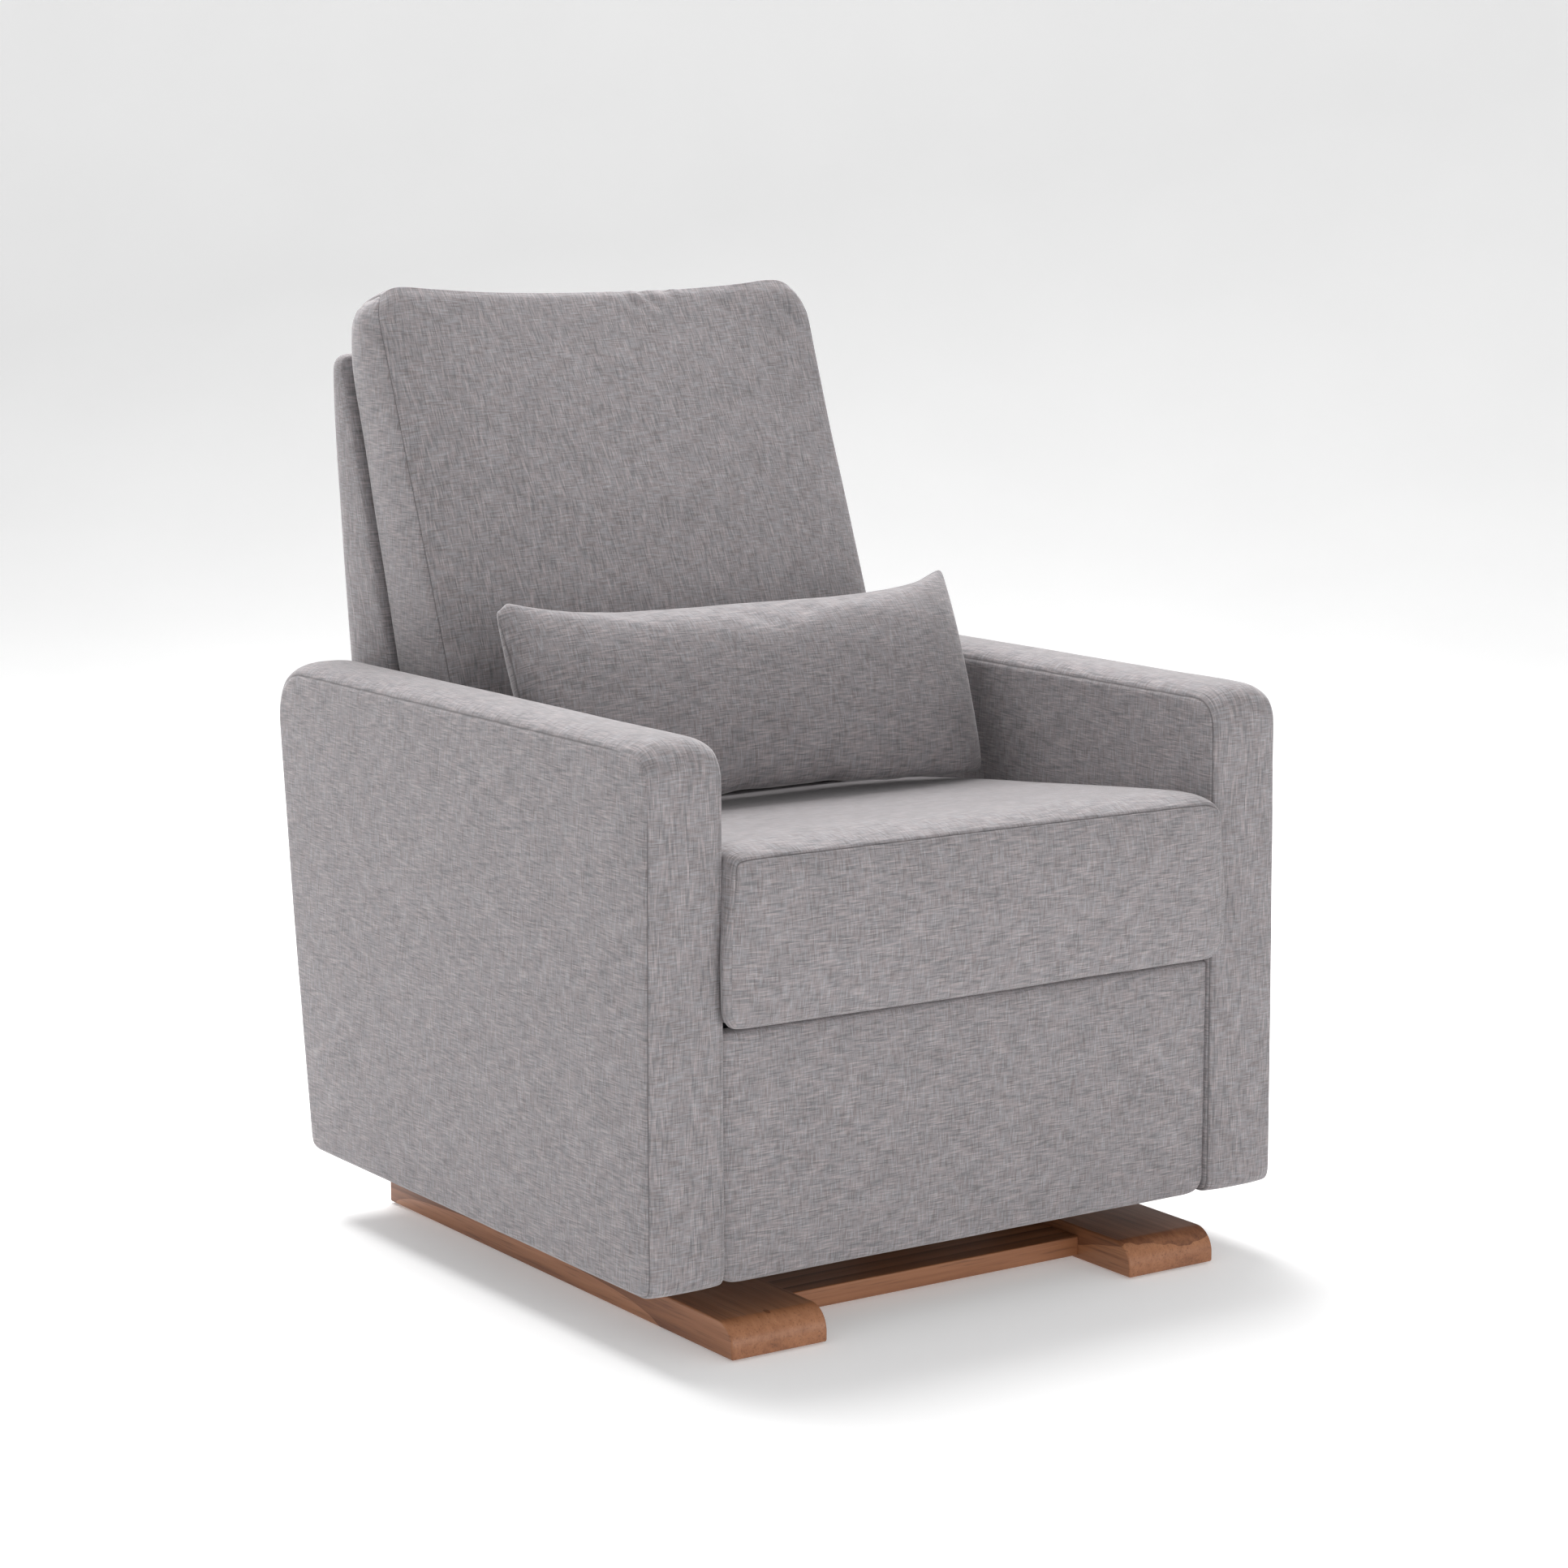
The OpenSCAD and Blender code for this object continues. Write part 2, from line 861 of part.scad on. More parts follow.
module stile_cut(grow) {
  x0 = back_half - 22 - stile_w;
  side_plate(x0 - grow, x0 + stile_w + grow)
    polygon([
      [hinge_y - 20 - grow, stile_low_z + 6 - grow],
      [hinge_y + 16 + grow, stile_low_z + 6 - grow],
      [front_face_y(500) + 72 + grow, 500],
      [front_face_y(stile_top_z) + stile_t - 4 + grow, stile_top_z + grow],
      [front_face_y(stile_top_z) - 12, stile_top_z + grow],
      [front_face_y(500) - 12, 500]
    ]);
}

module back_stile_shape() {
  x0 = back_half - 22 - stile_w;
  difference() {
    intersection() {
      stile_cut(0);
      side_plate(x0 - 1, x0 + stile_w + 1)
        polygon([
          [front_face_y(200) + 2, 200], [front_face_y(200) + 300, 200],
          [front_face_y(950) + 300, 950], [front_face_y(950) + 2, 950]
        ]);
    }
    x_bar(x0 - 1, x0 + stile_w + 1, hinge_y, hinge_z, hinge_pin_r + fit_gap);
  }
}

module rail_cut(z, grow) {
  x = back_half - 22 - stile_w;
  y = front_face_y(z);
  slope = front_slope * rail_h;
  side_plate(-x - grow, x + grow)
    polygon([
      [y + 2 - (grow > 0 ? 12 : 0), z - grow], [y + 2 + stile_t - 6 + grow, z - grow],
      [y + slope + 2 + stile_t - 6 + grow, z + rail_h + grow],
      [y + slope + 2 - (grow > 0 ? 12 : 0), z + rail_h + grow]
    ]);
}

module left_back_stile() {
  color(inner_wood_col) left_side() back_stile_shape();
}

module right_back_stile() {
  color(inner_wood_col) back_stile_shape();
}

module top_back_rail() {
  color(inner_wood_col) rail_cut(stile_top_z - rail_h, 0);
}

module low_back_rail() {
  color(inner_wood_col) rail_cut(460, 0);
}

module back_webbing() {
  x = back_half - 24 - stile_w;
  step = 56;
  color(deck_col)
    for (i = [0 : web_count - 1])
      side_plate(-x, x)
        polygon([
          [front_face_y(524 + i * step) + 3, 524 + i * step],
          [front_face_y(524 + i * step) + 3 + web_t, 524 + i * step],
          [front_face_y(524 + i * step + web_w) + 3 + web_t, 524 + i * step + web_w],
          [front_face_y(524 + i * step + web_w) + 3, 524 + i * step + web_w]
        ]);
}

module back_cover() {
  x = back_half - 22 - stile_w;
  color(fabric_dark_col)
    difference() {
      intersection() {
        side_plate(-back_half, back_half) back_outline(0, $fn = hull_fn);
        translate([0, 500, 0]) rotate([90, 0, 0])
          linear_extrude(height = 500) back_wide(34, $fn = hull_fn);
      }
      both_sides() stile_cut(soft_gap);
      rail_cut(stile_top_z - rail_h, soft_gap);
      rail_cut(460, soft_gap);
      side_plate(-x, x)
        polygon([
          [front_face_y(519.5) - 20, 519.5], [front_face_y(519.5) + 8, 519.5],
          [front_face_y(801) + 8, 801], [front_face_y(801) - 20, 801]
        ]);
      both_sides()
        x_bar(back_half - 90, half_in, hinge_y, hinge_z, hinge_pin_r + 2);
    }
}

module back_cushion_outline(inset) {
  r_top = 30;
  top_front = seam_y(back_top_z - 60);
  hull() {
    disc_at(seam_y(cushion_low_z) + 40, cushion_low_z + 24, 24 - inset);
    disc_at(seam_y(cushion_low_z) + back_box_t - 23, cushion_low_z + 20, 18 - inset);
    disc_at(front_face_y(880) - 21, 880, 18 - inset);
    disc_at(front_face_y(880) - r_top + 1, back_top_z - r_top, r_top - inset);
    disc_at(top_front + 24, back_top_z - 60, 24 - inset);
    disc_at(seam_y(740) + 30 - back_crown * 0.72, 740, 30 - inset);
    disc_at(seam_y(600) + 40 - back_crown, 600, 40 - inset);
    disc_at(seam_y(500) + 30 - back_crown * 0.5, 500, 30 - inset);
  }
}

module back_cushion() {
  edge = 16;
  w = cushion_back_half;
  r = cushion_corner_r;
  color(fabric_col)
    intersection() {
      hull() {
        side_plate(-w + edge, w - edge) back_cushion_outline(0, $fn = hull_fn);
        side_plate(-w, w) back_cushion_outline(edge, $fn = hull_fn);
      }
      translate([0, 500, 0]) rotate([90, 0, 0])
        linear_extrude(height = 600)
          hull() {
            for (sx = [-1, 1]) {
              translate([sx * (w - r), back_top_z - r]) circle(r = r, $fn = hull_fn);
              translate([sx * (w - r), cushion_low_z + r]) circle(r = r, $fn = hull_fn);
            }
          }
    }
}

// ---------- pillow ----------

module lumbar_pillow() {
  w = pillow_w / 2;
  h = pillow_h / 2;
  color(fabric_col)
    translate([0, pillow_mid[0], pillow_mid[1]])
      rotate([-pillow_tilt, 0, 0])
        hull() {
          translate([-w, -pillow_edge_t / 2, -h]) cube([2 * w, pillow_edge_t, 2 * h]);
          translate([-w + 60, -pillow_t * 0.36, -h + 34])
            cube([2 * w - 120, pillow_t * 0.72, 2 * h - 68]);
          translate([-w + 110, -pillow_t / 2, -h + 66])
            cube([2 * w - 220, pillow_t, 2 * h - 132]);
        }
}

left_runner();
right_runner();
front_stretcher();
rear_stretcher();
floor_pads();
front_left_stand();
front_right_stand();
rear_left_stand();
rear_right_stand();
stand_screws();
upper_glide_pins();
front_left_link();
front_right_link();
rear_left_link();
rear_right_link();
front_left_hanger();
front_right_hanger();
rear_left_hanger();
rear_right_hanger();
lower_glide_pins();
front_cross_tube();
rear_cross_tube();
left_seat_rail();
right_seat_rail();
front_seat_rail();
rear_seat_rail();
seat_springs();
spring_clips();
seat_deck();
seat_cushion();
left_arm_board();
right_arm_board();
left_arm_cover();
right_arm_cover();
arm_bolts();
rear_panel();
left_foot_rail();
right_foot_rail();
foot_rail_pins();
left_foot_rear_link();
right_foot_rear_link();
foot_torque_tube();
foot_link_pins();
left_foot_front_link();
right_foot_front_link();
footrest_board();
footrest_pad();
left_foot_bracket();
right_foot_bracket();
foot_bracket_pins();
back_hinge_plates();
back_hinge_pins();
left_back_stile();
right_back_stile();
top_back_rail();
low_back_rail();
back_webbing();
back_cover();
back_cushion();
lumbar_pillow();
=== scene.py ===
import json
import math

import bmesh
import bpy
import numpy as np
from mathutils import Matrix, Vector


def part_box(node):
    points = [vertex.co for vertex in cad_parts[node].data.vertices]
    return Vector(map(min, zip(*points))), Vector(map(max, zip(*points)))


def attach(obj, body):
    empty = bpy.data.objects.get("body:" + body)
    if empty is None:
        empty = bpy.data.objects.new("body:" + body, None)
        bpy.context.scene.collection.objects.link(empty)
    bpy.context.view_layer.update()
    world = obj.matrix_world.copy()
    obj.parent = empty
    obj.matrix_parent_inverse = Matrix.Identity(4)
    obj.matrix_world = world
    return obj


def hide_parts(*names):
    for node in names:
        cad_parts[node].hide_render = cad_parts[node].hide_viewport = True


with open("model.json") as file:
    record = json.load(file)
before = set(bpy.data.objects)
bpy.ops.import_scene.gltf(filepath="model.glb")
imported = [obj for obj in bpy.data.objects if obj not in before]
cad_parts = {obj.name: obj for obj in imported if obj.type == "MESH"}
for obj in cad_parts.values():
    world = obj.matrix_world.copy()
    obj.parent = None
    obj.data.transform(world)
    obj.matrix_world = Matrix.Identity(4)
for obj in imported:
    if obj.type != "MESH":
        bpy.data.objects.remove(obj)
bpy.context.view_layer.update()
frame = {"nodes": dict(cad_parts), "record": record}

MM = 0.001
COLLECTION = bpy.context.scene.collection


def mm_box(node):
    """A node's box in millimetres, lower and upper corner."""
    lo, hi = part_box(node)
    return np.array(lo) / MM, np.array(hi) / MM


# ------------------------------------------------------------------ materials

class Nodes:
    """Short helper for building node trees."""

    def __init__(self, name):
        self.mat = bpy.data.materials.new(name)
        self.mat.use_nodes = True
        self.tree = self.mat.node_tree
        self.bsdf = self.tree.nodes["Principled BSDF"]

    def new(self, kind, **props):
        node = self.tree.nodes.new(kind)
        for k, v in props.items():
            setattr(node, k, v)
        return node

    def link(self, a, b):
        self.tree.links.new(a, b)

    def mapping(self, source, scale, location=(0, 0, 0)):
        m = self.new("ShaderNodeMapping")
        m.inputs["Scale"].default_value = scale
        m.inputs["Location"].default_value = location
        self.link(source, m.inputs["Vector"])
        return m.outputs["Vector"]

    def noise(self, vector, scale=1.0, detail=2.0, rough=0.5):
        n = self.new("ShaderNodeTexNoise")
        n.inputs["Scale"].default_value = scale
        n.inputs["Detail"].default_value = detail
        n.inputs["Roughness"].default_value = rough
        self.link(vector, n.inputs["Vector"])
        return n.outputs["Fac"]

    def threads(self, uv, across, along, per_metre, slubs_per_metre, seed):
        """A separate one-dimensional noise for each thread, so that slubs start at random."""
        spread = 311.0
        sep = self.new("ShaderNodeSeparateXYZ")
        self.link(uv, sep.inputs[0])
        index = self.math("FLOOR", self.math("MULTIPLY", sep.outputs[across], float(per_metre)))
        start = self.new("ShaderNodeTexWhiteNoise", noise_dimensions="1D")
        self.link(self.math("ADD", index, float(seed)), start.inputs["W"])
        n = self.new("ShaderNodeTexNoise", noise_dimensions="1D")
        n.inputs["Scale"].default_value = 1.0
        n.inputs["Detail"].default_value = 1.0
        place = self.math("MULTIPLY", start.outputs["Value"], spread)
        self.link(self.math("MULTIPLY_ADD", sep.outputs[along], float(slubs_per_metre), place), n.inputs["W"])
        return n.outputs[0]

    def math(self, op, a, b=None, c=None, clamp=False):
        """A math node whose inputs are numbers or sockets."""
        n = self.new("ShaderNodeMath", operation=op, use_clamp=clamp)
        for i, v in enumerate((a, b, c)):
            if v is None:
                continue
            if isinstance(v, (int, float)):
                n.inputs[i].default_value = v
            else:
                self.link(v, n.inputs[i])
        return n.outputs[0]

    def ramp(self, fac, stops):
        """Colours at (position, colour) stops."""
        r = self.new("ShaderNodeValToRGB")
        while len(r.color_ramp.elements) < len(stops):
            r.color_ramp.elements.new(0.5)
        for e, (p, c) in zip(r.color_ramp.elements, stops):
            e.position = p
            e.color = (*c, 1)
        self.link(fac, r.inputs["Fac"])
        return r.outputs["Color"]

    def map_range(self, value, from_min, from_max, to_min, to_max):
        """Rescales a value from one range to another, clamped."""
        n = self.new("ShaderNodeMapRange")
        for i, limit in enumerate((from_min, from_max, to_min, to_max), start=1):
            n.inputs[i].default_value = limit
        self.link(value, n.inputs[0])
        return n.outputs[0]

    def mix(self, fac, a, b, blend="MIX"):
        """Mixes two colours; the node's colour sockets are inputs 6 and 7 and output 2."""
        n = self.new("ShaderNodeMix", data_type="RGBA", blend_type=blend)
        for s, v in zip((n.inputs[0], n.inputs[6], n.inputs[7]), (fac, a, b)):
            if isinstance(v, (int, float)):
                s.default_value = v
            elif isinstance(v, tuple):
                s.default_value = (*v, 1)
            else:
                self.link(v, s)
        return n.outputs[2]

    def bump(self, height, strength, distance):
        n = self.new("ShaderNodeBump")
        n.inputs["Strength"].default_value = strength
        n.inputs["Distance"].default_value = distance
        self.link(height, n.inputs["Height"])
        return n.outputs["Normal"]


def shade(colour, factor):
    """The colour made darker or lighter, kept within 1."""
    return tuple(min(1, c * factor) for c in colour)


def linen_colour(m, tone, warp, weft, base):
    """Dark to light by tone, then slightly warmer or cooler by which thread is the stronger."""
    stops = [(0.10, shade(base, 0.62)), (0.36, shade(base, 0.86)),
             (0.62, shade(base, 1.15)), (0.90, shade(base, 1.48))]
    colour = m.ramp(m.map_range(tone, 0.42, 0.92, 0.0, 1.0), stops)
    warm = m.mix(1.0, colour, (1.035, 0.985, 0.985), "MULTIPLY")
    cool = m.mix(1.0, colour, (0.972, 1.0, 1.03), "MULTIPLY")
    return m.mix(m.map_range(m.math("SUBTRACT", warp, weft), -0.22, 0.22, 0.0, 1.0), warm, cool)


def seam_darkness(m):
    """A dark line on the seam and a faint row of stitching beside it."""
    stitch_from_seam = 6.0
    seam = m.new("ShaderNodeAttribute", attribute_name="seam").outputs["Fac"]
    rim = m.new("ShaderNodeAttribute", attribute_name="rim").outputs["Fac"]
    off = m.math("ABSOLUTE", m.math("MULTIPLY", m.math("SUBTRACT", rim, stitch_from_seam), 0.9))
    stitch = m.math("SUBTRACT", 1.0, off, clamp=True)
    return m.math("MAXIMUM", m.map_range(seam, 0.60, 0.95, 0.0, 0.60), m.math("MULTIPLY", stitch, 0.26))


def weave_height(m, uv):
    """Crossed ribs for the bump."""
    ribs_per_metre = 250
    ribs = []
    for direction in ("X", "Y"):
        wave = m.new("ShaderNodeTexWave", wave_type="BANDS", bands_direction=direction, wave_profile="SIN")
        wave.inputs["Scale"].default_value = 1.0
        m.link(m.mapping(uv, (ribs_per_metre, ribs_per_metre, 1)), wave.inputs["Vector"])
        ribs.append(wave.outputs["Fac"])
    return m.math("MULTIPLY", *ribs)


def linen(name, base):
    """Heathered plain weave: slubs along warp and weft, a soft blotch, a fine weave in bump."""
    threads_per_metre = 900
    m = Nodes(name)
    uv = m.new("ShaderNodeUVMap", uv_map="cloth").outputs["UV"]
    warp = m.threads(uv, "X", "Y", threads_per_metre, 50, 11.0)
    weft = m.threads(uv, "Y", "X", threads_per_metre, 40, 57.0)
    slub = m.math("ADD", m.math("MULTIPLY", warp, 0.86), m.math("MULTIPLY", weft, 1.14))
    warp_fine = m.noise(m.mapping(uv, (1620, 150, 1)), 1.0, 1.0, 0.5)
    weft_fine = m.noise(m.mapping(uv, (120, 1560, 1), location=(1.3, 2.9, 0)), 1.0, 1.0, 0.5)
    fine = m.math("ADD", warp_fine, weft_fine)
    blotch = m.noise(m.mapping(uv, (18, 30, 1), location=(5, 1, 0)), 1.0, 2.0, 0.5)
    tone = m.math("MULTIPLY_ADD", slub, 0.37, m.math("MULTIPLY", fine, 0.22))
    tone = m.math("MULTIPLY_ADD", blotch, 0.11, m.math("ADD", tone, 0.025))
    colour = linen_colour(m, tone, warp, weft, base)
    m.link(m.mix(seam_darkness(m), colour, shade(base, 0.25)), m.bsdf.inputs["Base Color"])
    height = m.math("MULTIPLY_ADD", weave_height(m, uv), 0.4, slub)
    m.link(m.bump(height, 0.40, 0.0006), m.bsdf.inputs["Normal"])
    m.link(m.map_range(tone, 0.37, 0.87, 0.97, 0.86), m.bsdf.inputs["Roughness"])
    m.bsdf.inputs["Specular IOR Level"].default_value = 0.2
    m.bsdf.inputs["Sheen Weight"].default_value = 0.52
    m.bsdf.inputs["Sheen Roughness"].default_value = 0.36
    m.bsdf.inputs["Sheen Tint"].default_value = (0.98, 0.96, 0.97, 1)
    return m.mat


def along_grain(axis, across, along):
    """Noise scales with the same value across the grain and a smaller one along it."""
    scale = [across] * 3
    scale[axis] = along
    return tuple(scale)


def walnut(name, axis, tint=1.0, seed=0.0):
    """Brown stained wood: long grain along one axis, fine pores and soft figure."""
    m = Nodes(name)
    obj = m.new("ShaderNodeTexCoord").outputs["Object"]
    grain = m.mapping(obj, along_grain(axis, 14.0, 1.3), location=(seed, seed * 0.7, seed * 0.3))
    drift = m.noise(grain, 1.6, 3.0, 0.55)
    pores = m.noise(m.mapping(obj, along_grain(axis, 520.0, 16.0)), 1.0, 2.0, 0.55)
    fine = m.noise(m.mapping(obj, along_grain(axis, 150.0, 5.0), location=(seed, 0, 0)), 1.0, 4.0, 0.6)
    rings = m.new("ShaderNodeTexWave", wave_type="RINGS", wave_profile="SAW")
    rings.inputs["Scale"].default_value = 0.9
    rings.inputs["Distortion"].default_value = 3.2
    rings.inputs["Detail"].default_value = 3.0
    rings.inputs["Detail Scale"].default_value = 1.2
    m.link(grain, rings.inputs["Vector"])
    tone = m.math("MULTIPLY_ADD", rings.outputs["Fac"], 0.26, m.math("MULTIPLY", fine, 0.46))
    tone = m.math("MULTIPLY_ADD", drift, 0.30, tone)
    dark, middle, light = [shade(c, tint) for c in (WALNUT_DARK, WALNUT_MIDDLE, WALNUT_LIGHT)]
    colour = m.ramp(m.map_range(tone, 0.28, 0.76, 0, 1), [(0.0, dark), (0.5, middle), (1.0, light)])
    colour = m.mix(m.map_range(pores, 0.56, 0.70, 0, 0.42), colour, shade(dark, 0.45))
    m.link(colour, m.bsdf.inputs["Base Color"])
    m.link(m.map_range(tone, 0.28, 0.76, 0.50, 0.38), m.bsdf.inputs["Roughness"])
    m.link(m.bump(m.math("MULTIPLY_ADD", pores, 0.6, fine), 0.22, 0.0006), m.bsdf.inputs["Normal"])
    m.bsdf.inputs["Coat Weight"].default_value = 0.05
    m.bsdf.inputs["Coat Roughness"].default_value = 0.35
    return m.mat


def raw_wood(name):
    """Pale plywood and softwood of the hidden frame."""
    m = Nodes(name)
    obj = m.new("ShaderNodeTexCoord").outputs["Object"]
    grain = m.noise(m.mapping(obj, (12, 90, 160)), 1.0, 4.0, 0.6)
    ply = m.noise(m.mapping(obj, (300, 8, 8)), 1.0, 1.0, 0.5)
    t = m.math("MULTIPLY_ADD", grain, 0.8, m.math("MULTIPLY", ply, 0.2))
    col = m.ramp(t, [(0.3, (0.40, 0.25, 0.12)), (0.55, (0.60, 0.42, 0.23)), (0.8, (0.72, 0.54, 0.33))])
    m.link(col, m.bsdf.inputs["Base Color"])
    m.link(m.map_range(grain, 0.3, 0.7, 0.6, 0.75), m.bsdf.inputs["Roughness"])
    m.link(m.bump(grain, 0.3, 0.001), m.bsdf.inputs["Normal"])
    return m.mat


def metal(name, base, rough, metallic):
    """Powder coat or zinc: orange-peel bump, slight tone change and worn brighter patches."""
    m = Nodes(name)
    obj = m.new("ShaderNodeTexCoord").outputs["Object"]
    peel = m.noise(m.mapping(obj, (900, 900, 900)), 1.0, 2.0, 0.5)
    wear = m.noise(m.mapping(obj, (35, 35, 35)), 1.0, 4.0, 0.65)
    worn = tuple(min(1, c * 1.25 + 0.015) for c in base)
    m.link(m.ramp(wear, [(0.35, shade(base, 0.82)), (0.7, worn)]), m.bsdf.inputs["Base Color"])
    m.link(m.map_range(wear, 0.3, 0.7, rough * 0.85, min(1, rough * 1.2)), m.bsdf.inputs["Roughness"])
    m.bsdf.inputs["Metallic"].default_value = metallic
    m.link(m.bump(peel, 0.18, 0.0004), m.bsdf.inputs["Normal"])
    return m.mat


def plain_weave(name, base, pitch):
    """Coarse woven cloth or webbing in object space."""
    m = Nodes(name)
    obj = m.new("ShaderNodeTexCoord").outputs["Object"]
    v = m.mapping(obj, (pitch, pitch, pitch))
    a = m.new("ShaderNodeTexWave", bands_direction="X")
    b = m.new("ShaderNodeTexWave", bands_direction="Z")
    c = m.new("ShaderNodeTexWave", bands_direction="Y")
    for w in (a, b, c):
        w.inputs["Scale"].default_value = 1.0
        m.link(v, w.inputs["Vector"])
    s = m.math("MULTIPLY", a.outputs["Fac"], m.math("ADD", b.outputs["Fac"], c.outputs["Fac"]))
    fuzz = m.noise(m.mapping(obj, (240, 240, 240)), 1.0, 3.0, 0.6)
    t = m.math("MULTIPLY_ADD", s, 0.35, m.math("MULTIPLY", fuzz, 0.6))
    col = m.ramp(t, [(0.2, shade(base, 0.6)), (0.8, shade(base, 1.7))])
    m.link(col, m.bsdf.inputs["Base Color"])
    m.link(m.map_range(fuzz, 0.3, 0.7, 0.82, 0.95), m.bsdf.inputs["Roughness"])
    m.link(m.bump(s, 0.3, 0.0006), m.bsdf.inputs["Normal"])
    return m.mat


GREY = (0.258, 0.243, 0.246)
WALNUT_DARK = (0.122, 0.040, 0.016)
WALNUT_MIDDLE = (0.318, 0.128, 0.055)
WALNUT_LIGHT = (0.455, 0.205, 0.098)
FABRIC = linen("linen_grey", GREY)
WALNUT_Y = walnut("walnut_along_y", 1)
WALNUT_Y2 = walnut("walnut_along_y2", 1, 0.97, 4.0)
WALNUT_X = walnut("walnut_along_x", 0, 0.96, 2.0)
RAW = raw_wood("raw_wood")
STEEL = metal("black_powder_coat", (0.022, 0.022, 0.024), 0.45, 0.0)
ZINC = metal("zinc_plate", (0.52, 0.52, 0.54), 0.34, 1.0)
DECK = plain_weave("deck_cloth", (0.022, 0.022, 0.025), 900)
FELT = plain_weave("felt_pad", (0.06, 0.055, 0.05), 1500)

SLOT_LOOK = {"walnut": WALNUT_Y, "felt": FELT, "inner_wood": RAW, "fabric_cushion": FABRIC,
             "fabric_body": FABRIC, "deck_cloth": DECK, "black_steel": STEEL, "zinc": ZINC}
for part in frame["record"]["subparts"]:
    mesh = frame["nodes"][part["node"]].data
    mesh.materials.clear()
    mesh.materials.append(SLOT_LOOK[part["material_slot"]])


# ------------------------------------------------------------------ mesh tools

def graded(length, edge, body, grow=1.45):
    """Positions from 0 to 1 along a length, fine at both ends and even in the middle."""
    steps, s = [], edge
    while s < body and sum(steps) + s < length / 2:
        steps.append(s)
        s *= grow
    middle = length - 2 * sum(steps)
    n = max(1, int(round(middle / body)))
    steps = steps + [middle / n] * n + steps[::-1]
    return np.concatenate([[0], np.cumsum(steps)]) / length


def rounded_outline(corners, radii, arc=14):
    """Closed anticlockwise outline of a polygon with rounded corners, as points."""
    pts, n = [], len(corners)
    c = [np.array(p, float) for p in corners]
    for i in range(n):
        a = c[i - 1] - c[i]
        b = c[(i + 1) % n] - c[i]
        a, b = a / np.linalg.norm(a), b / np.linalg.norm(b)
        half = math.acos(np.clip(a @ b, -1, 1)) / 2
        r = radii[i]
        centre = c[i] + (a + b) / np.linalg.norm(a + b) * (r / math.sin(half))
        p0 = c[i] + a * r / math.tan(half)
        p1 = c[i] + b * r / math.tan(half)
        t0 = math.atan2(*(p0 - centre)[::-1])
        t1 = math.atan2(*(p1 - centre)[::-1])
        while t1 < t0:
            t1 += 2 * math.pi
        for k in range(arc + 1):
            t = t0 + (t1 - t0) * k / arc
            pts.append(centre + r * np.array([math.cos(t), math.sin(t)]))
    return np.array(pts)


def nearest(outline, pts):
    """Nearest outline point, signed distance (negative inside), outward normal, length along."""
    a = outline
    b = np.roll(outline, -1, axis=0)
    keep = np.linalg.norm(b - a, axis=1) > 1e-9
    a, b = a[keep], b[keep]
    ab = b - a
    seg = np.linalg.norm(ab, axis=1)
    start = np.concatenate([[0], np.cumsum(seg)[:-1]])
    best = np.full(len(pts), 1e18)
    q = np.zeros_like(pts)
    nrm = np.zeros_like(pts)
    along = np.zeros(len(pts))
    for i in range(len(a)):
        t = np.clip(((pts - a[i]) @ ab[i]) / seg[i] ** 2, 0, 1)
        p = a[i] + t[:, None] * ab[i]
        d2 = ((pts - p) ** 2).sum(1)
        m = d2 < best - 1e-12
        best[m] = d2[m]
        q[m] = p[m]
        nrm[m] = np.array([ab[i][1], -ab[i][0]]) / seg[i]
        along[m] = start[i] + t[m] * seg[i]
    side = ((pts - q) * nrm).sum(1)
    dist = np.sqrt(best) * np.where(side > 0, 1, -1)
    return q, dist, nrm, along


